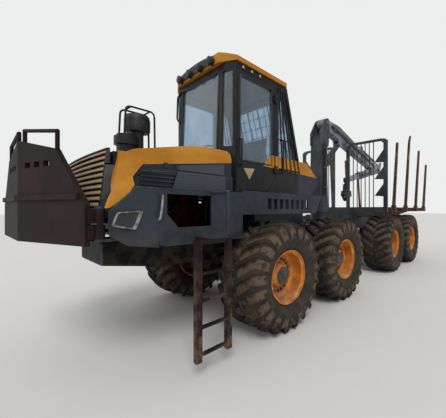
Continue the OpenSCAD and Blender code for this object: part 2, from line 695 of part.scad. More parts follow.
// Catwalks beside the cab over the front tyres, with a louvred skirt, step plate and posts
walk_z0 = 1590;
module catwalk() {
    x0 = cab_rear_x - 60;
    x1 = nose_rear_x - fit;
    color(grey) both() {
        block([x0, base_y + fit, cab_z - 40], [x1, nose_y, cab_z - fit]);
        difference() {
            side(nose_y - 24, nose_y) polygon([[x0, cab_z - 40], [x0 + 160, walk_z0], [x1, walk_z0], [x1, cab_z - 40]]);
            for (i = [0:7]) block([x0 + 420 + i * 130, nose_y - 30, walk_z0 + 70], [x0 + 500 + i * 130, nose_y + 1, cab_z - 90]);
        }
    }
    color(black) both() {
        // fixed handrail that the ladder's rear post runs up to
        tube([[ladder_x - ladder_w / 2, nose_y, 1840], [ladder_x - ladder_w / 2, ladder_y, 1840], [ladder_x - ladder_w / 2, ladder_y, ladder_z + 70]], 20);
    }
}

// Ladder: two posts with rungs, hung from a hinge tube on the nose side
ladder_x = joint_x + 3885;
ladder_y = 1400;
ladder_z = 1335;
module ladder() {
    h = post_d / 2;
    color(brown) {
        for (s = [-1, 1]) block([ladder_x + s * ladder_w / 2 - h, ladder_y - h, 190], [ladder_x + s * ladder_w / 2 + h, ladder_y + h, ladder_z + 20]);
        for (i = [0:rung_n - 1]) block([ladder_x - ladder_w / 2, ladder_y - 22, 240 + i * 260], [ladder_x + ladder_w / 2, ladder_y + 22, 262 + i * 260]);
        block([ladder_x - ladder_w / 2, ladder_y - 22, ladder_z - 22], [ladder_x + ladder_w / 2, ladder_y + 22, ladder_z + 20]);
        cyl_y(ladder_x, ladder_z, 24, nose_y + fit, ladder_y);
    }
}

// Lamps on the roof edge, the catwalk and the nose
module lamps() {
    color(black) {
        for (y = [-420, -140, 140, 420]) translate([cab_front_x - cab_rake + 60 + fit, y, eaves_z + 50]) rotate([0, 90, 0]) cylinder(h = 70, r = 55);
        for (y = [-300, 300]) translate([cab_rear_x + cab_slope - 60 - fit - 70, y, eaves_z + 50]) rotate([0, 90, 0]) cylinder(h = 70, r = 55);
    }
}

// Front guard: folded plate with a tube rail, on two hinge lugs at the left
guard_hinge = [nose_x + 130, nose_y - 60];
guard_side = 350;
guard_bracket_z = [guard_z0 + 30, guard_z0 + guard_side - 40];
guard_knuckle_z = [guard_bracket_z[0] + 24 + fit, guard_bracket_z[1] - 120 - fit];
guard_peak = 130;
guard_hem_x = 60;
guard_fold_x = guard_hem_x + guard_y * tan(guard_fold);
guard_slab = guard_t / cos(guard_fold);
guard_rib_z = guard_z0 + guard_side + 40;
guard_rail = [[80, guard_z1 + 60], [80, guard_z1 + guard_peak + 90], [600, guard_z1 + guard_peak + 30], [600, guard_z1 - 20]];
// Plan of the fold between two depths in front of its inner face
module guard_plan(a, b) {
    polygon([[guard_fold_x + b, 0], [guard_hem_x + b, guard_y], [guard_hem_x + a, guard_y], [guard_fold_x + a, 0], [guard_hem_x + a, -guard_y], [guard_hem_x + b, -guard_y]]);
}
// Outline as seen from the front, with the slots beside the fold
module guard_face() {
    difference() {
        polygon([[-guard_y, guard_z0], [guard_y, guard_z0], [guard_y, guard_z0 + guard_side], [guard_y * 0.6, guard_z1], [0, guard_z1 + guard_peak],
                 [-guard_y * 0.6, guard_z1], [-guard_y, guard_z0 + guard_side]]);
        for (s = [-1, 1]) for (i = [0:2]) translate([s * (170 + i * 150), guard_z1 - 120]) square([90, 50], center = true);
    }
}
module guard_strip(z, h, inset) { translate([-guard_y + inset, z]) square([2 * (guard_y - inset), h]); }
module front_guard() {
    hx = guard_hinge[0];
    hy = guard_hinge[1];
    color(brown) difference() {
        union() {
            translate([hx, hy, 0]) rotate([0, 0, guard_ajar]) translate([0, -hy, 0]) {
                intersection() {
                    plan(guard_z0 - 1, guard_z1 + guard_peak + 1) guard_plan(0, guard_slab);
                    cross(-1, guard_fold_x + guard_slab + 1) guard_face();
                }
                // stiffening rib across the plate
                intersection() {
                    plan(guard_z0, guard_z1) guard_plan(guard_slab / 2, guard_slab + 24);
                    cross(-1, guard_fold_x + guard_slab + 40) guard_strip(guard_rib_z, 50, 70);
                }
                // tube rail on the top edge
                both() tube([for (q = guard_rail) [guard_slab / 2 + guard_fold_x - q[0] * tan(guard_fold), q[0], q[1]]], 17);
            }
            for (z = guard_knuckle_z) {
                translate([hx, hy, z]) cylinder(h = 120, r = 38);
                translate([hx, hy, 0]) rotate([0, 0, guard_ajar]) block([-10, -130, z], [guard_hem_x + guard_slab * 0.6, -5, z + 120]);
            }
        }
        for (z = guard_knuckle_z) translate([hx, hy, z - 1]) cylinder(h = 122, r = 20 + fit);
    }
}

// Rear frame

bunk_x = [-2230, -3400, -4650, -5850];
module rear_frame() {
    front = roll_x - 100 - side_gap;
    color(grey) difference() {
        union() {
            cyl_x(0, joint_z, roll_r, front - 60, front);
            block([front - 500, -260, frame_z0], [front - 60, 260, frame_z1 + 110]);
            side(-spine_y, spine_y) polygon([[front - 480, frame_z0 + 20], [rear_axle_x + 500, frame_z0 + 130], [rear_axle_x - 900, frame_z0 + 130], [tail_x + 40, frame_z0 + 250],
                                             [tail_x + 40, frame_z1 + 110], [front - 480, frame_z1 + 110]]);
            block([tail_x, -420, frame_z0 + 200], [tail_x + 40, 420, frame_z1 + 110]);
            translate([crane_x, 0, frame_z1 + 110]) cylinder(h = 190, r = 235);
        }
        cyl_x(0, joint_z, 90 + fit, front - 230, front + 1);
        // hitch eye in the tail plate
        cyl_x(0, frame_z0 + 330, 35, tail_x - 1, tail_x + 60);
    }
}

// Bunks: cross beams that deepen to the spine
module bunks() {
    color(rust) for (b = bunk_x) {
        x = joint_x + b;
        cross(x - bunk_l / 2, x + bunk_l / 2)
            polygon([[-bunk_y, floor_z - 130], [-760, floor_z - 130], [-spine_y - 40, frame_z1 + 110], [spine_y + 40, frame_z1 + 110],
                     [760, floor_z - 130], [bunk_y, floor_z - 130], [bunk_y, floor_z], [-bunk_y, floor_z]]);
    }
}

// Stakes, columns: bunk, height over the floor
stake_h = [1800, 2050, 1980, 1650];
// Angle of each pair's bent tip, 0 where the tip is straight
stake_bend = [0, 24, 0, 0];
module stakes() {
    color(rust) both() for (i = [0:3]) translate([joint_x + bunk_x[i], bunk_y - stake_d / 2 - 10, floor_z + fit]) rotate([-stake_lean, 0, 0])
        {
            translate([0, 0, 3]) cylinder(h = stake_h[i], r1 = stake_d / 2, r2 = stake_d / 2 - 12);
            if (stake_bend[i] > 0) translate([0, 0, stake_h[i]]) {
                sphere(r = stake_d / 2 - 11);
                rotate([0, -stake_bend[i], 0]) cylinder(h = 210, r1 = stake_d / 2 - 12, r2 = stake_d / 2 - 18);
            }
        }
}

// Headgate: toothed posts, a curved top rail and upright bars, in two halves with the boom's gap between
tooth_z = [2000, 2450, 2900];
module headgate() {
    t = 60;
    color(black) {
        cross(gate_x - t / 2, gate_x + t / 2)
            polygon([[-bunk_y, floor_z - 120], [-spine_y, frame_z1 + 110], [spine_y, frame_z1 + 110], [bunk_y, floor_z - 120], [bunk_y, floor_z], [-bunk_y, floor_z]]);
        both() cross(gate_x - t / 2, gate_x + t / 2) union() {
            // outer post with its teeth
            polygon([[bunk_y, floor_z], [bunk_y, gate_top - 60], [bunk_y - 100, gate_top], [bunk_y - 100, floor_z]]);
            for (z = tooth_z) polygon([[bunk_y - 99, z], [bunk_y - 99, z + 330], [bunk_y - 330, z + 20]]);
            // inner post with its teeth
            polygon([[gate_gap, floor_z], [gate_gap + 90, floor_z], [gate_gap + 90, gate_top - 90], [gate_gap, gate_top - 180]]);
            // top rail
            polygon([[gate_gap + 60, gate_top - 190], [gate_gap + 160, gate_top - 60], [bunk_y - 180, gate_top - 60],
                     [bunk_y - 60, gate_top - 160], [bunk_y - 60, gate_top - 40], [bunk_y - 150, gate_top], [gate_gap + 120, gate_top], [gate_gap + 10, gate_top - 110]]);
        }
        both() for (i = [1:6]) bar([gate_x, gate_gap + 90 + i * 115, floor_z - 10], [gate_x, gate_gap + 90 + i * 115, gate_top - 30], 13);
    }
}

// Crane, drawn in a frame with its origin on the slewing axis and local x to the rear

module crane_frame() { translate([crane_x, 0, 0]) mirror([1, 0, 0]) children(); }
column_z = frame_z1 + 110 + 190;
lift_pin = [260, 2900];
lift_eye = [900, -190];
boom_pivot = [boom_pivot_u, boom_pivot_z];
ear_y = boom_w / 2 + side_gap;
module crane_column() {
    color(black) crane_frame() difference() {
        union() {
            translate([0, 0, column_z + fit]) cylinder(h = 130, r = 250);
            side(-150, 150) polygon([[-190, column_z + 120], [190, column_z + 120], [150, 2500], [150, 3520], [-170, 3520], [-210, 2500]]);
            both() side(ear_y, ear_y + 45) union() {
                polygon([[-200, 3300], [190, 3300], [boom_pivot_u + 120, boom_pivot_z], [boom_pivot_u - 120, boom_pivot_z + 60], [-200, 3600]]);
                translate([boom_pivot_u, boom_pivot_z]) circle(r = 125);
            }
            // lugs of the lift cylinder
            both() side(lift_cyl_r + side_gap, lift_cyl_r + side_gap + 35) union() {
                translate(lift_pin) circle(r = 85);
                polygon([[100, lift_pin[1] - 200], [lift_pin[0], lift_pin[1] - 85], [lift_pin[0], lift_pin[1] + 85], [100, lift_pin[1] + 130]]);
            }
        }
        cyl_y(boom_pivot_u, boom_pivot_z, pin_r + 15 + fit, -300, 300);
        cyl_y(lift_pin[0], lift_pin[1], pin_r + fit, -300, 300);
    }
}

// Boom in its own frame: x along the boom from the pivot
module boom_frame() { crane_frame() translate([boom_pivot_u, 0, boom_pivot_z]) rotate([0, boom_dip, 0]) children(); }
jib_pin = [boom_l - 1500, 255];
module lift_boom() {
    hw = boom_w / 2;
    color(steel) boom_frame() {
        difference() {
            union() {
                side(-hw, hw) union() {
                    circle(r = 130);
                    polygon([[0, 130], [700, 250], [1500, 220], [boom_l - 200, 115], [boom_l, 100], [boom_l, -100], [boom_l - 300, -110],
                             [1500, -115], [600, -110], [0, -125]]);
                    translate([boom_l, 0]) circle(r = 120);
                }
                // clevis plates for the lift cylinder's rod and the jib cylinder's barrel
                both() side(62, hw) union() {
                    translate(lift_eye) circle(r = 75);
                    polygon([[lift_eye[0] - 140, -100], [lift_eye[0] - 75, lift_eye[1]], [lift_eye[0] + 75, lift_eye[1]], [lift_eye[0] + 140, -100]]);
                }
                both() side(jib_cyl_r + side_gap, hw) union() {
                    translate(jib_pin) circle(r = 70);
                    polygon([[jib_pin[0] - 160, 100], [jib_pin[0] - 70, jib_pin[1]], [jib_pin[0] + 70, jib_pin[1]], [jib_pin[0] + 160, 100]]);
                }
            }
            cyl_y(boom_l, 0, pin_r + fit, -hw - 1, hw + 1);
            cyl_y(jib_pin[0], jib_pin[1], pin_r - 10 + fit, -hw - 1, hw + 1);
        }
        // pivot pin
        cyl_y(0, 0, pin_r + 15, -ear_y - 60, ear_y + 60);
    }
}

// Lift cylinder: barrel on the column, rod eye between the boom's plates
lift_eye_pos = [boom_pivot_u + lift_eye[0] * cos(boom_dip) + lift_eye[1] * sin(boom_dip),
                boom_pivot_z - lift_eye[0] * sin(boom_dip) + lift_eye[1] * cos(boom_dip)];
lift_v = lift_eye_pos - lift_pin;
lift_len = norm(lift_v);
module lift_place() { crane_frame() translate([lift_pin[0], 0, lift_pin[1]]) rotate([0, -atan2(lift_v[1], lift_v[0]), 0]) rotate([90, 0, 0]) children(); }
module lift_barrel() { color(black) lift_place() barrel(880, lift_cyl_r, 42, lift_cyl_r + 5, pin_r, lift_cyl_r + side_gap + 35); }
module lift_rod() { color(pale) lift_place() rod(96, lift_len, 42, 62, 50, pin_r - 10, 56); }

// Jib in its own frame: x along the jib from the knuckle
knuckle = [boom_pivot_u + boom_l * cos(boom_dip), boom_pivot_z - boom_l * sin(boom_dip)];
module jib_frame() { crane_frame() translate([knuckle[0], 0, knuckle[1]]) rotate([0, jib_dip, 0]) children(); }
jib_box = 1560;
ext_w = 130;
ext_h = 150;
jib_t = 16;
jib_eye = [-240, -180];
horn_n = [-jib_eye[1], jib_eye[0]] / norm(jib_eye);
jib_box_x = 520;
module jib() {
    hw = boom_w / 2;
    color(steel) jib_frame() {
        difference() {
            union() {
                block([jib_box_x, -jib_w / 2, -jib_h / 2], [jib_box, jib_w / 2, jib_h / 2]);
                // cheeks either side of the boom's end
                both() side(hw + side_gap, hw + side_gap + 30) union() {
                    circle(r = 125);
                    polygon([[0, -125], [0, 125], [430, 105], [700, 105], [700, -105], [430, -105]]);
                    translate(jib_eye) circle(r = 75);
                    polygon([118 * horn_n, 72 * horn_n + jib_eye, -72 * horn_n + jib_eye, -118 * horn_n]);
                }
                both() block([jib_box_x + 20, jib_w / 2 - 5, -100], [690, hw + side_gap + 1, 100]);
            }
            block([jib_box_x + 20, -ext_w / 2 - 6, -ext_h / 2 - 6], [jib_box + 1, ext_w / 2 + 6, ext_h / 2 + 6]);
        }
        cyl_y(0, 0, pin_r, -hw - 60, hw + 60);
    }
}
module extension() {
    color(pale) jib_frame() difference() {
        union() {
            block([jib_box_x + 30, -ext_w / 2, -ext_h / 2], [jib_l - 60, ext_w / 2, ext_h / 2]);
            block([jib_box_x + 30, -ext_w / 2 - 6 + fit, -ext_h / 2 - 6 + fit], [jib_box_x + 270, ext_w / 2 + 6 - fit, ext_h / 2 + 6 - fit]);
            both() side(45, ext_w / 2) union() {
                translate([jib_l, 0]) circle(r = 75);
                polygon([[jib_l - 180, -75], [jib_l, -75], [jib_l, 75], [jib_l - 180, 75]]);
            }
        }
        cyl_y(jib_l, 0, 30 + fit, -200, 200);
        // hollow section
        block([jib_box_x + 10, -ext_w / 2 + 14, -ext_h / 2 + 14], [jib_l - 200, ext_w / 2 - 14, ext_h / 2 - 14]);
    }
}

// Jib cylinder: barrel over the boom, rod eye between the horns of the jib
jib_pin_pos = [boom_pivot_u + jib_pin[0] * cos(boom_dip) + jib_pin[1] * sin(boom_dip),
               boom_pivot_z - jib_pin[0] * sin(boom_dip) + jib_pin[1] * cos(boom_dip)];
jib_eye_pos = [knuckle[0] + jib_eye[0] * cos(jib_dip) + jib_eye[1] * sin(jib_dip),
               knuckle[1] - jib_eye[0] * sin(jib_dip) + jib_eye[1] * cos(jib_dip)];
jib_v = jib_eye_pos - jib_pin_pos;
jib_len = norm(jib_v);
module jib_place() { crane_frame() translate([jib_pin_pos[0], 0, jib_pin_pos[1]]) rotate([0, -atan2(jib_v[1], jib_v[0]), 0]) rotate([90, 0, 0]) children(); }
module jib_barrel() { color(black) jib_place() barrel(1260, jib_cyl_r, 34, jib_cyl_r + 5, pin_r - 10, boom_w / 2); }
module jib_rod() { color(pale) jib_place() rod(jib_len - 820, jib_len, 34, 60, 50, 32, boom_w / 2); }

// Tip of the jib, where the grapple hangs
tip = [knuckle[0] + jib_l * cos(jib_dip), knuckle[1] - jib_l * sin(jib_dip)];
module tip_frame() { crane_frame() translate([tip[0], 0, tip[1]]) children(); }
module hang_link() {
    color(black) tip_frame() {
        side(-38, 38) union() {
            circle(r = 60);
            polygon([[-50, 0], [50, 0], [60, -130], [-60, -130]]);
        }
        cyl_y(0, 0, 30, -75, 75);
        translate([0, 0, -190]) cylinder(h = 65, r = 95);
    }
}
// Grapple head below the rotator, with pivot plates for the jaws
jaw_pivot = [85, -440];
module grapple() {
    color(black) tip_frame() {
        translate([0, 0, -340]) cylinder(h = 150 - fit, r = 105);
        difference() {
            both() side(70, 100) polygon([[-130, -330], [130, -330], [170, jaw_pivot[1] - 60], [-170, jaw_pivot[1] - 60]]);
            for (s = [-1, 1]) cyl_y(s * jaw_pivot[0], jaw_pivot[1], 22 + fit, -200, 200);
        }
        block([-110, -100, -350], [110, 100, -330]);
    }
}
// One jaw: two curved tines joined by plates, hung from its pivot
module jaw(s) {
    color(steel) tip_frame() scale_x(s) {
        translate([jaw_pivot[0], 0, jaw_pivot[1]]) {
            cyl_y(0, 0, 22, -100, 100);
            both() side(30, 62) difference() {
                union() {
                    circle(r = 60);
                    polygon(concat(arc([-126, 0], 210, 5, -78, 8), arc([-126, 20], 130, -70, 10, 8)));
                }
            }
            side(-31, 31) polygon(concat(arc([-126, 0], 208, -45, -76, 3), arc([-126, 10], 160, -72, -42, 3)));
        }
    }
}
module scale_x(s) { if (s < 0) mirror([1, 0, 0]) children(); else children(); }
module jaw_front() { jaw(-1); }
module jaw_rear() { jaw(1); }

front_frame();
front_fork();
front_axle();
front_bogies();
engine();
nose_body();
grille();
cab_base();
cab_shell();
cab_roof();
cab_glass();
cab_guard();
seat();
catwalk();
lamps();
bonnet();
intake();
cab_door();
door_glass();
ladder();
front_guard();
steer_barrel_left();
steer_rod_left();
steer_barrel_right();
steer_rod_right();
middle_joint();
rear_frame();
rear_axle();
rear_bogies();
headgate();
bunks();
stakes();
crane_column();
lift_boom();
lift_barrel();
lift_rod();
jib();
jib_barrel();
jib_rod();
extension();
hang_link();
grapple();
jaw_front();
jaw_rear();
tyre(front_axle_x + half_pitch, 1);  // tyre_fl1
tyre(front_axle_x - half_pitch, 1);  // tyre_fl2
tyre(front_axle_x + half_pitch, -1);  // tyre_fr1
tyre(front_axle_x - half_pitch, -1);  // tyre_fr2
tyre(rear_axle_x + half_pitch, 1);  // tyre_rl1
tyre(rear_axle_x - half_pitch, 1);  // tyre_rl2
tyre(rear_axle_x + half_pitch, -1);  // tyre_rr1
tyre(rear_axle_x - half_pitch, -1);  // tyre_rr2
rim(front_axle_x + half_pitch, 1);  // rim_fl1
rim(front_axle_x - half_pitch, 1);  // rim_fl2
rim(front_axle_x + half_pitch, -1);  // rim_fr1
rim(front_axle_x - half_pitch, -1);  // rim_fr2
rim(rear_axle_x + half_pitch, 1);  // rim_rl1
rim(rear_axle_x - half_pitch, 1);  // rim_rl2
rim(rear_axle_x + half_pitch, -1);  // rim_rr1
rim(rear_axle_x - half_pitch, -1);  // rim_rr2
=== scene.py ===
"""Forestry forwarder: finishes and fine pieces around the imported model, seen as in the photograph.

Metres, +X forward, +Y the machine's left side, Z 0 the ground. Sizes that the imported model
already holds are read from its nodes; the rest are named here.
"""
import json

import bmesh
import bpy
import numpy as np
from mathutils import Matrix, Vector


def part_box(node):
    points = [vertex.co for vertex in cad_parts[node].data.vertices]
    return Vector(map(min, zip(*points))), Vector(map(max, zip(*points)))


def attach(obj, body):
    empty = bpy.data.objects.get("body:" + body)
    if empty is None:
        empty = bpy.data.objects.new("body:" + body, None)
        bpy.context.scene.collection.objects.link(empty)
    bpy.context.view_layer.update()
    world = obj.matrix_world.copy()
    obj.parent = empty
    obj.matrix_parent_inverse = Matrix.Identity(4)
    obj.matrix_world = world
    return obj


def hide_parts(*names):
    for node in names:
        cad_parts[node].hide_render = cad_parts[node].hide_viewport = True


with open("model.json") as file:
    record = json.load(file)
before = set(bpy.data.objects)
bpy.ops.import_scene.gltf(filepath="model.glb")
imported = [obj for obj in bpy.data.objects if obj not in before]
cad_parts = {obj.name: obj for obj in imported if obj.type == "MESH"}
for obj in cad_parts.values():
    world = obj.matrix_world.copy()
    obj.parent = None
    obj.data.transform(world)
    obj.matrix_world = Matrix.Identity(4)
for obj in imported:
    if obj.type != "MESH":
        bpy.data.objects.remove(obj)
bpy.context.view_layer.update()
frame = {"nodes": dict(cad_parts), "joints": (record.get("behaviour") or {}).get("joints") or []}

JOINTS = {j["name"]: j for j in frame["joints"]}
STEER_X = JOINTS["steer"]["pos_m"][0]
NOSE_X = STEER_X + 4.640
CAB_FRONT_X = STEER_X + 3.215
CAB_REAR_X = CAB_FRONT_X - 1.8
CAB_SLOPE, CAB_RAKE = 0.54, 0.06
CAB_Z, EAVES_Z, ROOF_Z = 1.9, 3.74, 3.95
CAB_Y, CAB_FRONT_Y, CORNER_X = 0.79, 0.56, 0.13
DOOR_X0, DOOR_X1 = CAB_FRONT_X - 0.94, CAB_FRONT_X - 0.145
DOOR_Z0, DOOR_Z1 = CAB_Z + 0.04, EAVES_Z - 0.09
NOSE_Y, BONNET_Y = 1.1, 0.9
LEDGE_Z, LID_Z = 1.87, 2.08
CRANE_X = STEER_X - 0.375
TAIL_X = STEER_X - 6.05
BUNK_X = [STEER_X + b for b in (-2.23, -3.4, -4.65, -5.85)]
BUNK_Y, FLOOR_Z = 1.34, 1.72
GATE_X = STEER_X - 1.54
WHEELS = ("fl1", "fl2", "fr1", "fr2", "rl1", "rl2", "rr1", "rr2")
RIM_W, DISH, LUGS = 0.606, 0.215, 22

# Camera: a level pinhole whose principal point lies right of the picture's middle
PHOTO_W, PHOTO_H = 446, 418
FOCAL_PX, CENTRE_PX = 260.3, (278.5, 209.4)
CAMERA_AT = (STEER_X + 5.45, 3.609, 1.656)
CAMERA_TURN = 130.73
SENSOR_MM = 36

def placed(name, data):
    """A new object in the scene."""
    obj = bpy.data.objects.new(name, data)
    bpy.context.scene.collection.objects.link(obj)
    return obj


def mesh_of(name, verts, faces):
    """A mesh from vertices and faces."""
    mesh = bpy.data.meshes.new(name)
    mesh.from_pydata(verts, [], faces)
    return mesh


camera_data = bpy.data.cameras.new("camera")
camera_data.sensor_fit = "HORIZONTAL"
camera_data.sensor_width = SENSOR_MM
camera_data.lens = SENSOR_MM * FOCAL_PX / PHOTO_W
camera_data.shift_x = (PHOTO_W / 2 - CENTRE_PX[0]) / PHOTO_W
camera_data.shift_y = (CENTRE_PX[1] - PHOTO_H / 2) / PHOTO_W
camera = placed("camera", camera_data)
camera.location = CAMERA_AT
camera.rotation_euler = (np.pi / 2, 0, np.radians(CAMERA_TURN))
bpy.context.scene.camera = camera
bpy.context.scene.view_settings.view_transform = "Standard"


# Colour and node helpers

def linear(colour):
    """Linear RGBA of an sRGB hex colour."""
    c = np.array([int(colour[i:i + 2], 16) for i in (1, 3, 5)]) / 255
    c = np.where(c <= 0.04045, c / 12.92, ((c + 0.055) / 1.055) ** 2.4)
    return (*c, 1.0)


def add(tree, kind, links=None, values=None, **settings):
    """Adds a node, makes its settings, and sets or links its inputs; a link is (node, output)."""
    new = tree.nodes.new("ShaderNode" + kind)
    for key, value in settings.items():
        setattr(new, key, value)
    for key, value in (values or {}).items():
        new.inputs[key].default_value = value
    for key, (source, output) in (links or {}).items():
        tree.links.new(source.outputs[output], new.inputs[key])
    return new


def blank(name):
    """A new material with an empty node tree, and its Object coordinates."""
    mat = bpy.data.materials.new(name)
    mat.use_nodes = True
    mat.node_tree.nodes.clear()
    return mat, mat.node_tree, add(mat.node_tree, "TexCoord")


def noise(tree, place, size, detail=4.0, rough=0.6, stretch=(1, 1, 1)):
    """Noise whose blotches are about size metres, stretched along an axis where asked."""
    scaled = add(tree, "Mapping", {"Vector": (place, "Object")}, {"Scale": stretch})
    return add(tree, "TexNoise", {"Vector": (scaled, "Vector")},
               {"Scale": 1 / size, "Detail": detail, "Roughness": rough})


def window(tree, source, output, low, high):
    """0 below low, 1 above high, smooth between, of a node's output."""
    return add(tree, "MapRange", {"Value": (source, output)},
               {"From Min": low, "From Max": high}, interpolation_type="SMOOTHSTEP")


def product(tree, a, b):
    """Product of two nodes' first outputs."""
    return add(tree, "Math", {0: (a, 0), 1: (b, 0)}, operation="MULTIPLY")


def mixed(tree, mask, under, over):
    """over on under by the mask; each is a hex colour or a node."""
    links, values = {"Fac": (mask, 0)}, {}
    for key, part in (("Color1", under), ("Color2", over)):
        if isinstance(part, str):
            values[key] = linear(part)
        else:
            links[key] = (part, 0)
    return add(tree, "MixRGB", links, values)


def finish_surface(mat, tree, colour, rough, bump=None, **sockets):
    """Principled surface with a colour node, a roughness number or node, and a bump (node, depth)."""
    links, values = {"Base Color": (colour, 0)}, dict(sockets)
    if isinstance(rough, (int, float)):
        values["Roughness"] = rough
    else:
        links["Roughness"] = (rough, 0)
    if bump:
        relief = add(tree, "Bump", {"Height": (bump[0], 0)}, {"Distance": bump[1], "Strength": 1.0})
        links["Normal"] = (relief, "Normal")
    shader = add(tree, "BsdfPrincipled", links, {k.replace("_", " "): v for k, v in values.items()})
    add(tree, "OutputMaterial", {"Surface": (shader, "BSDF")})
    return mat


# Materials

DUST, MUD, STEEL_RUST = "#A58F6E", "#6E5A42", "#6A3E28"
# The ochre of the bonnet ends on the line z = 2.109 + PAINT_SLOPE * (NOSE_X - 0.307 - x)
PAINT_SLOPE = 0.1447
PAINT_AT = 2.109 + PAINT_SLOPE * (NOSE_X - 0.307)


def enamel(name, paint, faded, chip=STEEL_RUST, gloss=0.42, dust=0.55, chips=0.69, mud_top=1.3, fade=0.5, shine=0.45,
           second=None):
    """Alkyd enamel sprayed on steel plate.

    The eye sees faded patches half a metre across, chips and rubbed spots down to the steel,
    dust on what faces up, and dried mud that thins out with height.
    """
    mat, tree, place = blank(name)
    facing = add(tree, "SeparateXYZ", {"Vector": (add(tree, "NewGeometry"), "Normal")})
    height = add(tree, "SeparateXYZ", {"Vector": (place, "Object")})
    broad = noise(tree, place, fade)
    fine = noise(tree, place, 0.035, detail=6)
    streaks = noise(tree, place, 0.09, stretch=(1, 1, 0.16))
    colour = mixed(tree, window(tree, broad, 0, 0.42, 0.62), paint, faded)
    colour = mixed(tree, product(tree, window(tree, streaks, 0, 0.52, 0.72), window(tree, broad, 0, 0.3, 0.6)),
                   colour, faded)
    if second:
        colour = mixed(tree, below_line(tree, height), colour, second)
    chipped = product(tree, window(tree, fine, 0, chips, chips + 0.02), window(tree, broad, 0, 0.38, 0.6))
    colour = mixed(tree, chipped, colour, chip)
    up = product(tree, window(tree, facing, "Z", 0.35, 1.0), window(tree, fine, 0, 0.66 - dust * 0.5, 0.74))
    colour = mixed(tree, up, colour, DUST)
    low = add(tree, "MapRange", {"Value": (height, "Z")},
              {"From Min": 0.3, "From Max": mud_top, "To Min": 0.75, "To Max": 0.0})
    colour = mixed(tree, product(tree, low, window(tree, noise(tree, place, 0.16, detail=7), 0, 0.42, 0.6)), colour,
                   MUD)
    rough = add(tree, "MapRange", {"Value": (up, 0)}, {"To Min": gloss, "To Max": 0.9})
    return finish_surface(mat, tree, colour, rough, (fine, 0.0012), Specular_IOR_Level=shine)


def below_line(tree, height):
    """1 under the line that rises from the nose to the cab, 0 over it; height gives x and z."""
    rise = add(tree, "Math", {0: (height, "X"), 2: (height, "Z")}, {1: PAINT_SLOPE}, operation="MULTIPLY_ADD")
    return add(tree, "MapRange", {"Value": (rise, 0)},
               {"From Min": PAINT_AT, "From Max": PAINT_AT + 0.004, "To Min": 1.0, "To Max": 0.0})


def bare_steel(name, tone, stain, rough=0.38, metallic=0.85, grain=0.02):
    """Steel without paint: brushed or worn bright, with darker stains between the polished parts."""
    mat, tree, place = blank(name)
    stains = noise(tree, place, 0.12, detail=6)
    lines = noise(tree, place, grain, stretch=(0.2, 1, 1))
    colour = mixed(tree, window(tree, stains, 0, 0.45, 0.62), tone, stain)
    return finish_surface(mat, tree, colour, rough, (lines, 0.0004), Metallic=metallic)


def rusty(name, rust, bark, bright):
    """Hot-rolled steel that logs rub: brown rust, bark stains and short bright scrapes."""
    mat, tree, place = blank(name)
    broad = noise(tree, place, 0.25, detail=7)
    scrape = noise(tree, place, 0.06, stretch=(1, 1, 0.2), detail=5)
    colour = mixed(tree, window(tree, broad, 0, 0.4, 0.6), rust, bark)
    colour = mixed(tree, window(tree, scrape, 0, 0.6, 0.66), colour, bright)
    return finish_surface(mat, tree, colour, 0.78, (scrape, 0.002), Specular_IOR_Level=0.3)


def rubber(name, black, tan, cake):
    """Tyre rubber: carbon black gone grey, tan soil caked between the lugs and thin on their tops."""
    mat, tree, place = blank(name)
    groove = add(tree, "Attribute", attribute_name="groove")
    cake_noise = noise(tree, place, 0.09, detail=8, rough=0.7)
    film = noise(tree, place, 0.3, detail=6)
    colour = mixed(tree, window(tree, film, 0, 0.38, 0.66), black, tan)
    caked = product(tree, window(tree, groove, "Fac", 0.15, 0.8), window(tree, cake_noise, 0, 0.38, 0.55))
    colour = mixed(tree, caked, colour, cake)
    return finish_surface(mat, tree, colour, 0.86, (cake_noise, 0.004), Specular_IOR_Level=0.3)


def perforated(name, sheet, hole_shade, pitch=0.022):
    """Painted sheet punched with round holes on a square pitch; the holes are near-black dots of painted shade, for
    the dark behind them.
    """
    mat, tree, place = blank(name)
    cells = add(tree, "TexVoronoi", {"Vector": (place, "Object")}, {"Scale": 1 / pitch, "Randomness": 0.0})
    colour = mixed(tree, window(tree, cells, "Distance", 0.30, 0.36), hole_shade, sheet)
    return finish_surface(mat, tree, colour, 0.6, (cells, 0.002))


def plain_rubber(name, tone, worn, rough=0.7):
    """Moulded or extruded rubber and matt plastic, grey where it has chalked."""
    mat, tree, place = blank(name)
    chalk = noise(tree, place, 0.05, detail=5)
    colour = mixed(tree, window(tree, chalk, 0, 0.5, 0.7), tone, worn)
    return finish_surface(mat, tree, colour, rough, (chalk, 0.0006))


def clear_sheet(name, tint, haze, clear=0.85, rough=0.04):
    """Tempered or moulded clear sheet with a film of dust that thickens in blotches."""
    mat, tree, place = blank(name)
    film = noise(tree, place, 0.5, detail=6)
    colour = mixed(tree, window(tree, film, 0, 0.45, 0.75), tint, haze)
    return finish_surface(mat, tree, colour, rough, Transmission_Weight=clear, IOR=1.45)


def cloth(name, yarn, shade):
    """Woven seat cloth: two yarns 8 mm apart, drawn coarse enough to show."""
    mat, tree, place = blank(name)
    weave = add(tree, "TexWave", {"Vector": (place, "Object")}, {"Scale": 60.0, "Distortion": 1.0},
                bands_direction="DIAGONAL")
    colour = mixed(tree, weave, yarn, shade)
    return finish_surface(mat, tree, colour, 0.9, (weave, 0.001), Sheen_Weight=0.3)


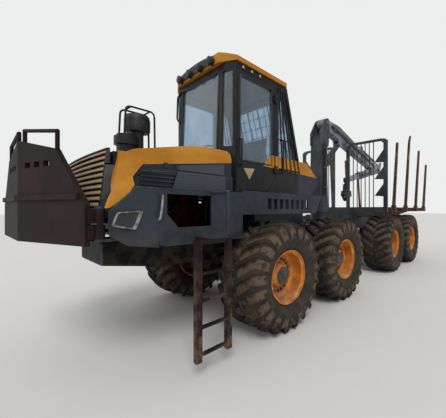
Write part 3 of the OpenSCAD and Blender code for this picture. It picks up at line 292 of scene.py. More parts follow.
SHARP_DEGREES = 35
SLATE = "#21262F"
OCHRE = {"paint": "#AC6E14", "faded": "#BA7F24", "chip": "#4A3A2C", "dust": 0.25, "shine": 0.3}
M = {
    # ochre machine enamel, sun-faded and dusty
    "yellow": enamel("ochre_enamel", **OCHRE),
    # the bonnet's ochre, with slate below the line that rises towards the cab
    "bonnet": enamel("bonnet_two_tone_enamel", **OCHRE, second=SLATE),
    # slate enamel of the frames and nose sides
    "slate": enamel("slate_enamel", SLATE, "#2E343E", dust=0.4, mud_top=1.6, shine=0.3),
    # the same slate darkened to near black as painted shade on what hangs below the deck; its chips and mud are real
    "under": enamel("chassis_slate_enamel", "#141517", "#1D2023", chip="#33281F", gloss=0.6, dust=0.25, mud_top=1.5,
                    shine=0.15),
    # near-black enamel of the cab frame
    "black": enamel("cab_black_enamel", "#161618", "#212123", chip="#33271F", gloss=0.42, dust=0.3, shine=0.28),
    # oxide-brown enamel of guard and ladder
    "brown": enamel("guard_oxide_enamel", "#1E1516", "#281C1C", chip="#4A3A33", gloss=0.6, dust=0.12, chips=0.71,
                    mud_top=1.3, shine=0.12),
    # orange wheel enamel over steel, scuffed to a lighter tone
    "orange": enamel("wheel_orange_enamel", "#C26A1A", "#D48A30", chip="#7B4B30", gloss=0.5, dust=0.6, mud_top=1.1,
                     fade=0.2),
    # tan enamel of the radiator slats under dust
    "tan": enamel("slat_tan_enamel", "#A38B68", "#B8A283", chip="#5C4C3A", gloss=0.6, dust=0.75),
    # blue-grey crane enamel with pale rubbed patches
    "crane": enamel("crane_grey_enamel", "#4E565D", "#8F9BA3", chip="#B6BDC0", gloss=0.45, chips=0.62, dust=0.4,
                    fade=0.7),
    # dark enamel of cylinders, gate and column
    "dark": enamel("column_dark_enamel", "#23262A", "#3A3F44", chip="#7C7F80", gloss=0.42, dust=0.45, fade=0.3),
    # red enamel of the engine block, oily
    "engine": enamel("engine_red_enamel", "#3E1812", "#5A261C", chip="#120D0C", gloss=0.4, dust=0.3, fade=0.08),
    "rust": rusty("rolled_steel_rusty", "#5A3B2B", "#3E2D24", "#8B6A52"),
    "chrome": bare_steel("hard_chrome_rod", "#C9CDD0", "#A9A49A", rough=0.16, metallic=1.0),
    "bright": bare_steel("zinc_plated_steel", "#A7A8A5", "#6F6A60", rough=0.42),
    "worn": bare_steel("worn_cast_steel", "#6B6560", "#3C3632", rough=0.55, metallic=0.6),
    "tyre": rubber("tyre_rubber", "#1F1D1C", "#352F29", "#5F5040"),
    "hose": plain_rubber("hose_rubber", "#171717", "#2B2A28"),
    # the near-black hole dots are painted shade
    "mesh": perforated("punched_vent_sheet", "#3A3F49", "#050506", pitch=0.034),
    "plastic": plain_rubber("black_moulded_plastic", "#1E1F21", "#33332F", rough=0.55),
    "glass": clear_sheet("tempered_window_glass", "#C6D9E8", "#AFC0CE", clear=0.9),
    "lens": clear_sheet("lamp_lens_glass", "#D6DCE0", "#B9B8B0", clear=0.35, rough=0.12),
    # headlamp glass over its dark reflector
    "smoked": clear_sheet("headlamp_glass", "#2A2E36", "#4A4744", clear=0.1, rough=0.1),
    "red_lens": clear_sheet("red_lamp_lens", "#8E1512", "#5C1512", clear=0.15, rough=0.2),
    "amber_lens": clear_sheet("amber_lamp_lens", "#C9701A", "#9B5A1E", clear=0.15, rough=0.2),
    "cloth": cloth("woven_seat_cloth", "#26282B", "#3A3D42"),
}

FINISH_OF = {
    # under: the chassis slate, darkened to near black as painted shade
    "under": ["front_frame", "front_fork", "front_axle", "front_bogies", "rear_axle", "rear_bogies"],
    "slate": ["nose_body", "cab_base", "catwalk", "middle_joint", "rear_frame"],
    "engine": ["engine"],
    "black": ["cab_shell", "cab_guard", "cab_door", "lamps", "intake", "grille"],
    "yellow": ["cab_roof"],
    "bonnet": ["bonnet"],
    "glass": ["cab_glass", "door_glass"],
    "brown": ["ladder", "front_guard"],
    "dark": ["steer_barrel_left", "steer_barrel_right", "crane_column", "headgate", "lift_barrel", "jib_barrel",
             "hang_link", "grapple"],
    "chrome": ["steer_rod_left", "steer_rod_right", "lift_rod", "jib_rod"],
    "rust": ["bunks", "stakes"],
    "crane": ["lift_boom", "jib", "extension"],
    "worn": ["jaw_front", "jaw_rear"],
    "orange": ["rim_" + w for w in WHEELS],
    "tyre": ["tyre_" + w for w in WHEELS],
    "cloth": ["seat"],
}
for finish_name, node_names in FINISH_OF.items():
    for node_name in node_names:
        node = frame["nodes"][node_name]
        if not node.material_slots:
            node.data.materials.append(M[finish_name])
        for material_slot in node.material_slots:
            material_slot.material = M[finish_name]


# Surfaces as arrays: each function gives (vertices, faces)

def skin_of(points, wrap_u=False, wrap_v=False):
    """Quads between neighbours of an m by n grid of points, closed round either way if asked."""
    m, n = points.shape[:2]
    i = np.arange(m if wrap_u else m - 1)[:, None]
    j = np.arange(n if wrap_v else n - 1)[None, :]
    i2, j2 = (i + 1) % m, (j + 1) % n
    quads = np.stack(np.broadcast_arrays(i * n + j, i * n + j2, i2 * n + j2, i2 * n + j), -1)
    return points.reshape(-1, 3), [tuple(q) for q in quads.reshape(-1, 4).tolist()]


def joined(parts):
    """Several (vertices, faces) as one."""
    verts, faces, start = [], [], 0
    for v, f in parts:
        verts.append(v)
        faces += [tuple(i + start for i in face) for face in f]
        start += len(v)
    return np.concatenate(verts), faces


def basis(axis):
    """Rows: two directions across the axis, and the axis itself."""
    a = np.asarray(axis, float) / np.linalg.norm(axis)
    ref = np.array([0, 0, 1.0]) if abs(a[2]) < 0.9 else np.array([1.0, 0, 0])
    u = np.cross(ref, a)
    u /= np.linalg.norm(u)
    return np.array([u, np.cross(a, u), a])


def turn_in(count):
    """Angles that share a full turn evenly."""
    return np.linspace(0, 2 * np.pi, count, endpoint=False)


def turned(profile, centre, axis, sides=32):
    """Revolves rows of (radius, place along the axis) about the axis through the centre."""
    r, h = np.asarray(profile, float).T
    a = turn_in(sides)
    local = np.stack([np.outer(r, np.cos(a)), np.outer(r, np.sin(a)), np.outer(h, np.ones(sides))], -1)
    return skin_of(local @ basis(axis) + np.asarray(centre), wrap_v=True)


def tube(path, radius, sides=10):
    """Sweeps a circle along a path; ring k is path[k] + radius (cos a n + sin a b), ends drawn to a point."""
    p = np.asarray(path, float)
    t = np.gradient(p, axis=0)
    t /= np.linalg.norm(t, axis=1)[:, None]
    ref = np.array([0.31, 0.17, 0.93])
    n = np.cross(t, ref)
    n /= np.linalg.norm(n, axis=1)[:, None]
    b = np.cross(t, n)
    a = turn_in(sides)
    ring = radius * (np.cos(a)[None, :, None] * n[:, None] + np.sin(a)[None, :, None] * b[:, None])
    body = p[:, None] + ring
    ends = [np.repeat(p[k][None, None], sides, 1) for k in (0, -1)]
    return skin_of(np.concatenate([ends[0], body, ends[1]]), wrap_v=True)


def bend(corners, radius=0.06, steps=5):
    """A path through the corners with each inner corner cut by a quadratic curve of about the radius."""
    c = np.asarray(corners, float)
    back, ahead = c[:-2] - c[1:-1], c[2:] - c[1:-1]
    lb, la = np.linalg.norm(back, axis=1), np.linalg.norm(ahead, axis=1)
    cut = np.minimum(radius, 0.45 * np.minimum(lb, la))[:, None]
    p0, p2 = c[1:-1] + back / lb[:, None] * cut, c[1:-1] + ahead / la[:, None] * cut
    t = np.linspace(0, 1, steps)[None, :, None]
    arcs = (1 - t) ** 2 * p0[:, None] + 2 * t * (1 - t) * c[1:-1][:, None] + t ** 2 * p2[:, None]
    return np.concatenate([c[:1], arcs.reshape(-1, 3), c[-1:]])


def ring_path(corners, radius=0.05, steps=5):
    """A closed path with rounded corners."""
    c = np.asarray(corners, float)
    mid = (c[0] + c[-1]) / 2
    return bend(np.concatenate([[mid], c, [mid]]), radius, steps)


def slab(outline, low, high, plane="xz"):
    """A flat outline made into a plate between two depths, as an n-gon prism; plane names its two axes."""
    o = np.asarray(outline, float)
    k = len(o)
    axes = ["xyz".index(c) for c in plane]
    depth = 3 - sum(axes)
    v = np.zeros((2 * k, 3))
    v[:k, axes], v[k:, axes] = o, o
    v[:k, depth], v[k:, depth] = low, high
    sides = [(i, (i + 1) % k, (i + 1) % k + k, i + k) for i in range(k)]
    return v, [tuple(range(k)), tuple(range(2 * k - 1, k - 1, -1))] + sides


def rectangle(x0, x1, z0, z1):
    """The four corners of a rectangle, in order."""
    return [(x0, z0), (x1, z0), (x1, z1), (x0, z1)]


def side_slab(outline, side, near, far):
    """A slab on the left (1) or right (-1), between two distances from the middle plane."""
    return slab(outline, *sorted((side * near, side * far)))


def brick(low, high):
    """A rectangular bar between any two opposite corners."""
    (x0, y0, z0), (x1, y1, z1) = np.sort([low, high], axis=0)
    return slab(rectangle(x0, x1, z0, z1), y0, y1)


def block_of(rings):
    """A closed solid through rings of points, each end drawn to its middle."""
    rings = np.asarray(rings, float)
    ends = [np.repeat(rings[k].mean(0)[None, None], rings.shape[1], 1) for k in (0, -1)]
    return skin_of(np.concatenate([ends[0], rings, ends[1]]), wrap_v=True)


def hex_heads(places, axis, radius=0.014, height=0.011):
    """Hexagon bolt heads with a washer under each, at every place."""
    rows = [(0, 0), (radius * 1.5, 0), (radius * 1.5, height * 0.25), (radius, height * 0.25), (radius, height),
            (0, height * 1.1)]
    v, f = turned(rows, (0, 0, 0), axis, sides=6)
    p = np.asarray(places, float).reshape(-1, 3)
    verts = (p[:, None] + v[None]).reshape(-1, 3)
    return verts, [tuple(i + k * len(v) for i in face) for k in range(len(p)) for face in f]


def circle_of(centre, axis, radius, count, start=0.0):
    """Evenly spaced places on a circle about the axis."""
    a = np.radians(start) + turn_in(count)
    u, v, _ = basis(axis)
    return np.asarray(centre) + radius * (np.cos(a)[:, None] * u + np.sin(a)[:, None] * v)


def piece(name, parts, finish, body, bevel=0.0, smooth=True):
    """A mesh object of the joined parts with doubles merged and faces outward, riding on its body."""
    verts, faces = joined(parts)
    mesh = mesh_of(name, verts.tolist(), faces)
    form = bmesh.new()
    form.from_mesh(mesh)
    bmesh.ops.remove_doubles(form, verts=form.verts, dist=1e-5)
    bmesh.ops.recalc_face_normals(form, faces=form.faces)
    form.to_mesh(mesh)
    form.free()
    mesh.materials.append(M[finish])
    obj = placed(name, mesh)
    if bevel:
        rounding = obj.modifiers.new("rounding", "BEVEL")
        rounding.width, rounding.segments, rounding.limit_method = bevel, 2, "ANGLE"
    if smooth:
        mesh.shade_smooth()
        mesh.set_sharp_from_angle(angle=np.radians(SHARP_DEGREES))
    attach(obj, body)
    return obj


# Tyres: bias-ply forestry tyres with swept lugs

# Half section from the middle of the tread to the bead: across, radius between lugs, radius on a lug
TYRE_HALF = np.array([
    (0.000, 0.690, 0.690), (0.012, 0.690, 0.690), (0.024, 0.690, 0.740), (0.100, 0.690, 0.750), (0.200, 0.686, 0.748),
    (0.285, 0.672, 0.737), (0.328, 0.655, 0.716), (0.350, 0.628, 0.685), (0.362, 0.595, 0.640), (0.370, 0.560, 0.572),
    (0.371, 0.520, 0.520), (0.366, 0.475, 0.475), (0.360, 0.468, 0.468), (0.352, 0.430, 0.430), (0.328, 0.394, 0.394),
    (0.306, 0.376, 0.376), (0.284, 0.366, 0.366), (0.270, 0.348, 0.348), (0.268, 0.3365, 0.3365)])
LUG_TOP, LUG_FOOT, LUG_SWEEP = 0.15, 0.185, 1.0


def tyre_surface(centre):
    """Radius = groove + (lug - groove) * bar(turn), on columns sheared with the lugs' sweep.

    A column's turn is its share of a lug pitch; the left half has its bars at whole pitches
    and the right half at halves. The shear grows evenly from the middle to the shoulder.
    """
    turns = np.array([-LUG_FOOT, -LUG_TOP, 0, LUG_TOP, LUG_FOOT])
    turns = np.concatenate([turns, turns + 0.5])
    columns = (np.arange(LUGS)[:, None] + turns).ravel()
    across = np.concatenate([TYRE_HALF[::-1, 0], -TYRE_HALF[1:, 0]])
    groove = np.concatenate([TYRE_HALF[::-1, 1], TYRE_HALF[1:, 1]])
    lug = np.concatenate([TYRE_HALF[::-1, 2], TYRE_HALF[1:, 2]])
    left = np.tile(np.array([0, 1, 1, 1, 0, 0, 0, 0, 0, 0]), LUGS)
    right = np.roll(left, 5)
    raised = np.where(across[None, :] > 0, left[:, None], right[:, None])
    radius = groove + (lug - groove) * raised
    shear = LUG_SWEEP * np.clip(np.abs(across) / 0.33, 0, 1)
    angle = 2 * np.pi * (columns[:, None] + shear[None, :]) / LUGS
    points = np.stack([radius * np.cos(angle), np.broadcast_to(across, radius.shape), radius * np.sin(angle)], -1)
    in_groove = np.where(lug - groove > 0.005, 1.0 - raised, 0.35)
    return points + centre, in_groove


def inner_liner(centre):
    """The tyre's inner side: the outer half section drawn in by a wall of 25 mm, from bead to bead."""
    half = np.array([(0.268, 0.3365), (0.245, 0.345), (0.262, 0.40), (0.330, 0.45), (0.344, 0.53), (0.320, 0.60),
                     (0.22, 0.64), (0.0, 0.655)])
    rows = np.concatenate([half, half[-2::-1] * (-1, 1)])
    a = 2 * np.pi * np.arange(LUGS * 2) / (LUGS * 2)
    points = np.stack([np.outer(np.cos(a), rows[:, 1]), np.tile(rows[:, 0], (len(a), 1)),
                       np.outer(np.sin(a), rows[:, 1])], -1)
    return points + centre


def middle_of(kind, wheel):
    """The middle of a tyre or rim, on the wheel's axis."""
    low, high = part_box(kind + wheel)
    hub = np.array(JOINTS["spin_" + wheel]["pos_m"])
    hub[1] = (low[1] + high[1]) / 2
    return hub


def build_tyre(wheel):
    """One tyre: its outer skin and liner, with the groove attribute that the soil follows."""
    hub = middle_of("tyre_", wheel)
    points, in_groove = tyre_surface(hub)
    outer = skin_of(points, wrap_u=True)
    inner = skin_of(inner_liner(hub)[:, ::-1], wrap_u=True)
    verts, faces = joined([outer, inner])
    mesh = mesh_of("tyre_skin_" + wheel, verts.tolist(), faces)
    groove = mesh.attributes.new("groove", "FLOAT", "POINT")
    groove.data.foreach_set("value", np.concatenate([in_groove.ravel(), np.zeros(len(inner[0]))]))
    mesh.materials.append(M["tyre"])
    obj = placed("tyre_skin_" + wheel, mesh)
    mesh.shade_smooth()
    mesh.set_sharp_from_angle(angle=np.radians(32))
    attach(obj, "wheel_" + wheel)
    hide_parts("tyre_" + wheel)


def build_wheel_fittings(wheel):
    """Nuts on the disc and hub, and the planetary hub's cover, on the wheel's outer side."""
    hub = middle_of("rim_", wheel)
    out = np.sign(hub[1])
    disc = hub + (0, out * (RIM_W / 2 - DISH), 0)
    axis = (0, out, 0)
    nuts = [hex_heads(circle_of(disc, axis, 0.225, 20), axis, 0.017, 0.022),
            hex_heads(circle_of(disc + (0, out * 0.047, 0), axis, 0.148, 12, 15), axis, 0.010, 0.010)]
    piece("wheel_nuts_" + wheel, nuts, "worn", "wheel_" + wheel, smooth=False)
    cover = [turned([(0.122, 0.088), (0.122, 0.100), (0.108, 0.106), (0.05, 0.118), (0.03, 0.118), (0.028, 0.126),
                     (0, 0.126)], disc, axis, 40),
             hex_heads(circle_of(disc + (0, out * 0.106, 0), axis, 0.092, 6, 30), axis, 0.008, 0.007)]
    piece("hub_cover_" + wheel, cover, "dark", "wheel_" + wheel)


for wheel in WHEELS:
    build_tyre(wheel)
    build_wheel_fittings(wheel)


# Cab: window gaskets, rear grid, corner bar, lamps, visor, wings and stripes

def rear_wall_x(z):
    """X of the cab's sloping rear wall at height z."""
    return CAB_REAR_X + CAB_SLOPE * (z - CAB_Z) / (EAVES_Z - CAB_Z)


def front_wall_x(z):
    """X of the raked windscreen at height z."""
    return CAB_FRONT_X - CAB_RAKE * (z - CAB_Z) / (EAVES_Z - CAB_Z)


def gasket(corners, radius=0.012):
    """An extruded rubber bead round a window."""
    return tube(ring_path(corners, 0.05), radius, 8)


def build_gaskets():
    """Beads round the windscreen, its corner panes, the rear, quarter and right side windows, and the door's own."""
    front = [(front_wall_x(z) + 0.002, y, z) for y, z in
             rectangle(-0.5, 0.5, CAB_Z + 0.6, EAVES_Z - 0.09)]
    rear = [(rear_wall_x(z) - 0.002, y, z) for y, z in
            rectangle(-0.65, 0.65, CAB_Z + 0.5, EAVES_Z - 0.15)]
    quarter = [(CAB_REAR_X + 0.25, CAB_Z + 0.42), (DOOR_X0 - 0.09, CAB_Z + 0.42), (DOOR_X0 - 0.09, EAVES_Z - 0.13),
               (CAB_REAR_X + CAB_SLOPE + 0.11, EAVES_Z - 0.13)]
    door = rectangle(DOOR_X0 + 0.07, DOOR_X1 - 0.06, DOOR_Z0 + 0.42, DOOR_Z1 - 0.07)
    flat = lambda outline, y: [(x, y, z) for x, z in outline]
    parts = [gasket(front), gasket(rear), gasket(flat(quarter, CAB_Y - 0.004)),
             gasket(flat(quarter, -CAB_Y + 0.004)), gasket(flat(door, -CAB_Y))]
    for side in (1, -1):
        a = np.array([CAB_FRONT_X, side * CAB_FRONT_Y, 0])
        b = np.array([CAB_FRONT_X - CORNER_X, side * CAB_Y, 0])
        p, q = a + (b - a) * 0.19, a + (b - a) * 0.81
        lean = lambda z: np.array([front_wall_x(z) - CAB_FRONT_X, 0, z])
        z0, z1 = CAB_Z + 0.64, EAVES_Z - 0.13
        parts.append(gasket([p + lean(z0), q + lean(z0), q + lean(z1), p + lean(z1)], 0.010))
    piece("cab_window_gaskets", parts, "plastic", "front")
    piece("door_window_gasket", [gasket(flat(door, CAB_Y))], "plastic", "door")


def build_rear_grid():
    """Welded bars over the rear window, 30 mm behind the sloping wall."""
    at = lambda y, z: (rear_wall_x(z) - 0.03, y, z)
    low, high = CAB_Z + 0.46, EAVES_Z - 0.10
    bars = [tube(np.array([at(y, low), at(y, (low + high) / 2), at(y, high)]), 0.007, 6) for y in np.linspace(-0.6,
            0.6, 9)]
    bars += [tube(np.array([at(-0.64, z), at(0, z), at(0.64, z)]), 0.008, 6) for z in np.linspace(low + 0.03,
            high - 0.03, 8)]
    bars += [brick(np.subtract(at(y, z), 0.012), np.add(at(y, z), (0.034, 0.012, 0.012))) for y in (-0.6,
            0.6) for z in (low + 0.03, high - 0.03)]
    piece("rear_window_grid", bars, "black", "front")


def build_corner_bar():
    """A bent tube at the cab's right front corner, with its two clamps."""
    post = lambda z, out=0.0: (front_wall_x(z) + out * 0.03, -CAB_FRONT_Y - out * 0.06, z)
    path = bend([post(3.13), post(3.19, 1), post(3.58, 1), post(3.65)], 0.05)
    clamps = [brick(np.subtract(post(z), 0.02), np.add(post(z), 0.02)) for z in (3.13, 3.65)]
    piece("corner_bar", [tube(path, 0.014, 10)] + clamps, "black", "front")


def lamp_face(centre, axis, radius, depth=0.02):
    """A crowned lens: height = depth * (1 - (r / radius)^2), with a short rim behind."""
    r = np.linspace(0, 1, 7)
    rows = [(0, -0.004)] + [(radius, -0.004)] + [(radius * q, depth * (1 - q * q)) for q in r[::-1]]
    return turned(rows, centre, axis, 28)


ROOF_X0, ROOF_X1 = CAB_REAR_X + CAB_SLOPE - 0.06, CAB_FRONT_X - CAB_RAKE + 0.06
ROOF_RY = 2.4
BEZEL = [(0.047, 0.0), (0.058, 0.0), (0.060, -0.02), (0.0555, -0.024), (0.0555, -0.06), (0.047, -0.06)]


def build_roof_lamps():
    """Smoked lenses and bezels of the front and rear work lamps, and three small lamps under each side's eaves."""
    z = EAVES_Z + 0.05
    lenses, bezels, small = [], [], []
    for x, out, ys in ((ROOF_X1 + 0.07, 1, (-0.42, -0.14, 0.14, 0.42)), (ROOF_X0 - 0.07, -1, (-0.3, 0.3))):
        for y in ys:
            lenses.append(lamp_face((x + out * 0.004, y, z), (out, 0, 0), 0.046))
            bezels.append(turned(BEZEL, (x + out * 0.006, y, z), (out, 0, 0), 28))
    for side in (1, -1):
        for x in (DOOR_X1 - 0.12, DOOR_X1 - 0.29, DOOR_X1 - 0.46):
            at = (x, side * (CAB_Y + 0.004), EAVES_Z - 0.042)
            small.append(lamp_face(at, (0, side, 0), 0.020, 0.008))
            bezels.append(turned([(0.020, 0.0), (0.028, 0.0), (0.030, -0.012), (0.020, -0.012)], at, (0, side, 0),
                                 20))
    piece("roof_lamp_lenses", lenses, "smoked", "front")
    piece("eaves_lamp_lenses", small, "lens", "front")
    piece("roof_lamp_bezels", bezels, "plastic", "front")


def build_visor():
    """Black visor over the roof's front edge; its top follows the crown, z = crown + 30 mm, over a tan strip."""
    y = np.linspace(-0.56, 0.44, 21)
    crown = ROOF_Z - 0.063 - ROOF_RY + np.sqrt(ROOF_RY ** 2 - y ** 2)
    foot = np.full_like(y, EAVES_Z + 0.028)
    rings = [[(ROOF_X1 + 0.012, v, f), (ROOF_X1 + 0.006, v, c + 0.03), (ROOF_X1 - 0.05, v, c + 0.035),
              (ROOF_X1 - 0.05, v, f)] for v, f, c in zip(y, foot, crown)]
    piece("roof_visor", [block_of(rings)], "plastic", "front", smooth=False)


def build_stripes():
    """Wings behind the cab with an ochre strip that ends on the door, a blank plate, and bright bars on the nose
    sides that are a painted highlight on a panel edge.
    """
    wing = [(1.42, 2.10), (1.43, 2.27), (1.775, 2.50), (2.05, 2.50), (2.05, 1.905), (1.62, 1.905)]
    strip = [(1.425, 2.276), (1.772, 2.525), (DOOR_X0 - 0.02, 2.527), (DOOR_X0 - 0.02, 2.322)]
    wings, strips = [], []
    for side in (1, -1):
        wings.append(side_slab(wing, side, 0.56, CAB_Y + 0.001))
        strips.append(side_slab(strip, side, CAB_Y - 0.004, CAB_Y + 0.007))
    piece("cab_wings", wings, "slate", "front", bevel=0.012)
    piece("cab_side_stripes", strips, "yellow", "front", bevel=0.004)
    end = [(DOOR_X0 + 0.012, 2.527), (2.76, 2.526), (2.945, 2.333), (DOOR_X0 + 0.012, 2.322)]
    piece("door_stripe", [slab(end, CAB_Y - 0.002, CAB_Y + 0.005)], "yellow", "door")
    piece("door_plate", [slab([(3.13, 2.265), (3.345, 2.25), (3.235, 2.09)], CAB_Y - 0.002, CAB_Y + 0.004)], "tan",
          "door")
    # bright zinc bars on each nose side: a painted highlight on the panel edge, drawn as bars
    bars = [tube(bend([(NOSE_X - back, s * (NOSE_Y + out), z) for back, out, z in
                       ((0.36, -0.01, 1.79), (0.36, 0.04, 1.79), (0.35, 0.04, 1.67), (0.33, 0.04, 1.56),
                        (0.33, -0.01, 1.55))], 0.03), 0.013, 10) for s in (1, -1)]
    piece("nose_grab_bars", bars, "bright", "front")


build_gaskets()
build_rear_grid()
build_corner_bar()
build_roof_lamps()
build_visor()
build_stripes()


# Seat: cushion and backrest of stuffed cloth on a pedestal, with armrests and levers

def cushion(centre, size, axis_up, crown=0.03, n=22):
    """A pad: half thickness = size_z / 2 * (1 - u^6)^(1/4) (1 - v^6)^(1/4), sides drawn in by the seams.

    u and v run -1 to 1 across the pad, and two sewn channels cut 8 mm into the crowned face.
    """
    t = np.sin(np.linspace(-1, 1, n) * np.pi / 2)
    u, v = np.meshgrid(t, t, indexing="ij")
    half = size[2] / 2 * ((1 - u ** 6) * (1 - v ** 6)).clip(0) ** 0.25
    channel = 0.008 * (np.exp(-((u - 0.55) / 0.05) ** 2) + np.exp(-((u + 0.55) / 0.05) ** 2))
    swell = crown * (1 - u ** 2) * (1 - v ** 2)
    x, y = u * size[0] / 2 * (1 - 0.05 * (1 - v ** 2)), v * size[1] / 2 * (1 - 0.04 * (1 - u ** 2))
    top = np.stack([x, y, half + swell - channel], -1)
    under = np.stack([x, y, -half], -1)[:, ::-1]
    a = basis(axis_up)[1]
    turn = np.array([np.cross(a, axis_up) / np.linalg.norm(axis_up), a,
                     np.asarray(axis_up) / np.linalg.norm(axis_up)])
    return [skin_of(top @ turn + centre), skin_of(under @ turn + centre)]


def build_seat():
    """The seat stands for the plain CAD one: two padded pieces and the rigid rest."""
    low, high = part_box("seat")
    x, z = (low[0] + high[0]) / 2 + 0.03, low[2]
    pad = piece("seat_cushion", cushion(np.array([x + 0.02, 0, z + 0.36]), (0.48, 0.48, 0.10), (0.06, 0, 1)),
                "cloth", "front")
    back = piece("seat_backrest", cushion(np.array([x - 0.235, 0, z + 0.78]), (0.70, 0.46, 0.09), (1, 0, 0.14)),
                 "cloth", "front")
    rigid = [turned([(0, 0), (0.16, 0), (0.16, 0.02), (0.10, 0.05), (0.10, 0.24), (0.2, 0.29), (0.2, 0.305),
                     (0, 0.305)], (x, 0, z), (0, 0, 1), 32)]
    for side in (1, -1):
        rigid.append(slab([(x - 0.20, z + 0.46), (x + 0.18, z + 0.46), (x + 0.22, z + 0.50), (x + 0.22, z + 0.56),
                           (x - 0.20, z + 0.54)], side * 0.29, side * 0.39))
        rigid.append(tube(bend([(x - 0.1, side * 0.2, z + 0.29), (x - 0.1, side * 0.33, z + 0.30),
                                (x - 0.1, side * 0.33, z + 0.48)], 0.06), 0.02, 10))
        stick = np.array([(x + 0.15, side * 0.33, z + 0.54), (x + 0.155, side * 0.33, z + 0.60),
                          (x + 0.165, side * 0.33, z + 0.66)])
        rigid.append(tube(stick, 0.012, 10))
        rigid.append(turned([(0, -0.01), (0.022, 0), (0.028, 0.04), (0.024, 0.085), (0, 0.095)], stick[-1],
                            (0.12, 0, 1), 18))
    base = piece("seat_frame", rigid, "plastic", "front", bevel=0.004)
    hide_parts("seat")


def build_console():
    """Steering column, wheel and dash at the front of the cab, seen through the windscreen."""
    x, z = CAB_FRONT_X, CAB_Z
    dash = slab([(x - 0.16, z + 0.06), (x - 0.07, z + 0.06), (x - 0.075, z + 0.52), (x - 0.17, z + 0.56)],
                -0.42, 0.42)
    column = tube(np.array([(x - 0.16, 0, z + 0.30), (x - 0.26, 0, z + 0.52), (x - 0.33, 0, z + 0.70)]), 0.035, 14)
    hub = np.array([x - 0.335, 0, z + 0.71])
    axis = np.array([-0.42, 0, 1.0])
    a = np.linspace(0, 2 * np.pi, 41)
    u, v, _ = basis(axis)
    rim = hub + 0.17 * (np.cos(a)[:, None] * u + np.sin(a)[:, None] * v)
    spokes = [tube(np.linspace(hub, rim[k], 3), 0.009, 8) for k in (4, 17, 30)]
    piece("steering_column", [dash, column, tube(rim, 0.014, 10)] + spokes, "plastic", "front", bevel=0.004)


build_seat()
build_console()


# Nose: corner panels, slats, headlamps, vents, bay fittings, intake and latches

SLAT_TOP_Z, SLAT_PITCH, SLATS, LID_SPLIT_Z = 2.2, 0.0545, 12, 2.075


def slat_x(z):
    """X of the slats' ends at height z: the grille leans back as it rises."""
    return NOSE_X + 0.03 + 0.15 * (SLAT_TOP_Z - z)


def slat_y(z):
    """Half width of the slats at height z: they widen below the bonnet's lower edge."""
    return 0.83 + 0.05 * min(1.0, max(0.0, (2.10 - z) / 0.3))


def build_corner_panels():
    """Ochre panel at each front corner, sweeping down from the bonnet to a point on the nose side.

    A row gives z, x and y of the rear edge, x and y of the front edge, and y of the face behind.
    """
    table = [(2.205, 4.79, 0.903, 4.985, 0.903, 0.88),
             (2.12, 4.76, 0.906, 4.995, 0.915, 0.88),
             (2.06, 4.81, 0.915, 5.010, 0.935, 0.88),
             (1.965, 4.885, 0.955, 5.037, 0.975, 0.90),
             (1.875, 4.918, 1.090, 5.072, 1.060, 0.98),
             (1.81, 4.965, 1.104, 5.100, 1.098, 1.086),
             (1.74, 5.035, 1.105, 5.128, 1.103, 1.088),
             (1.70, 5.078, 1.105, 5.142, 1.104, 1.088),
             (1.667, 5.118, 1.104, 5.150, 1.103, 1.090)]
    panels = []
    for side in (1, -1):
        rings = []
        for z, rear_x, rear_y, front_x, front_y, back_y in table:
            middle = ((rear_x + front_x) / 2, (rear_y + front_y) / 2 + 0.010)
            ring = [(rear_x, back_y), (rear_x, rear_y), middle, (front_x, front_y), (front_x + 0.004, back_y)]
            rings.append([(x, side * y, z) for x, y in ring])
        panels.append(block_of(rings))
    piece("nose_corner_panels", panels, "yellow", "front")


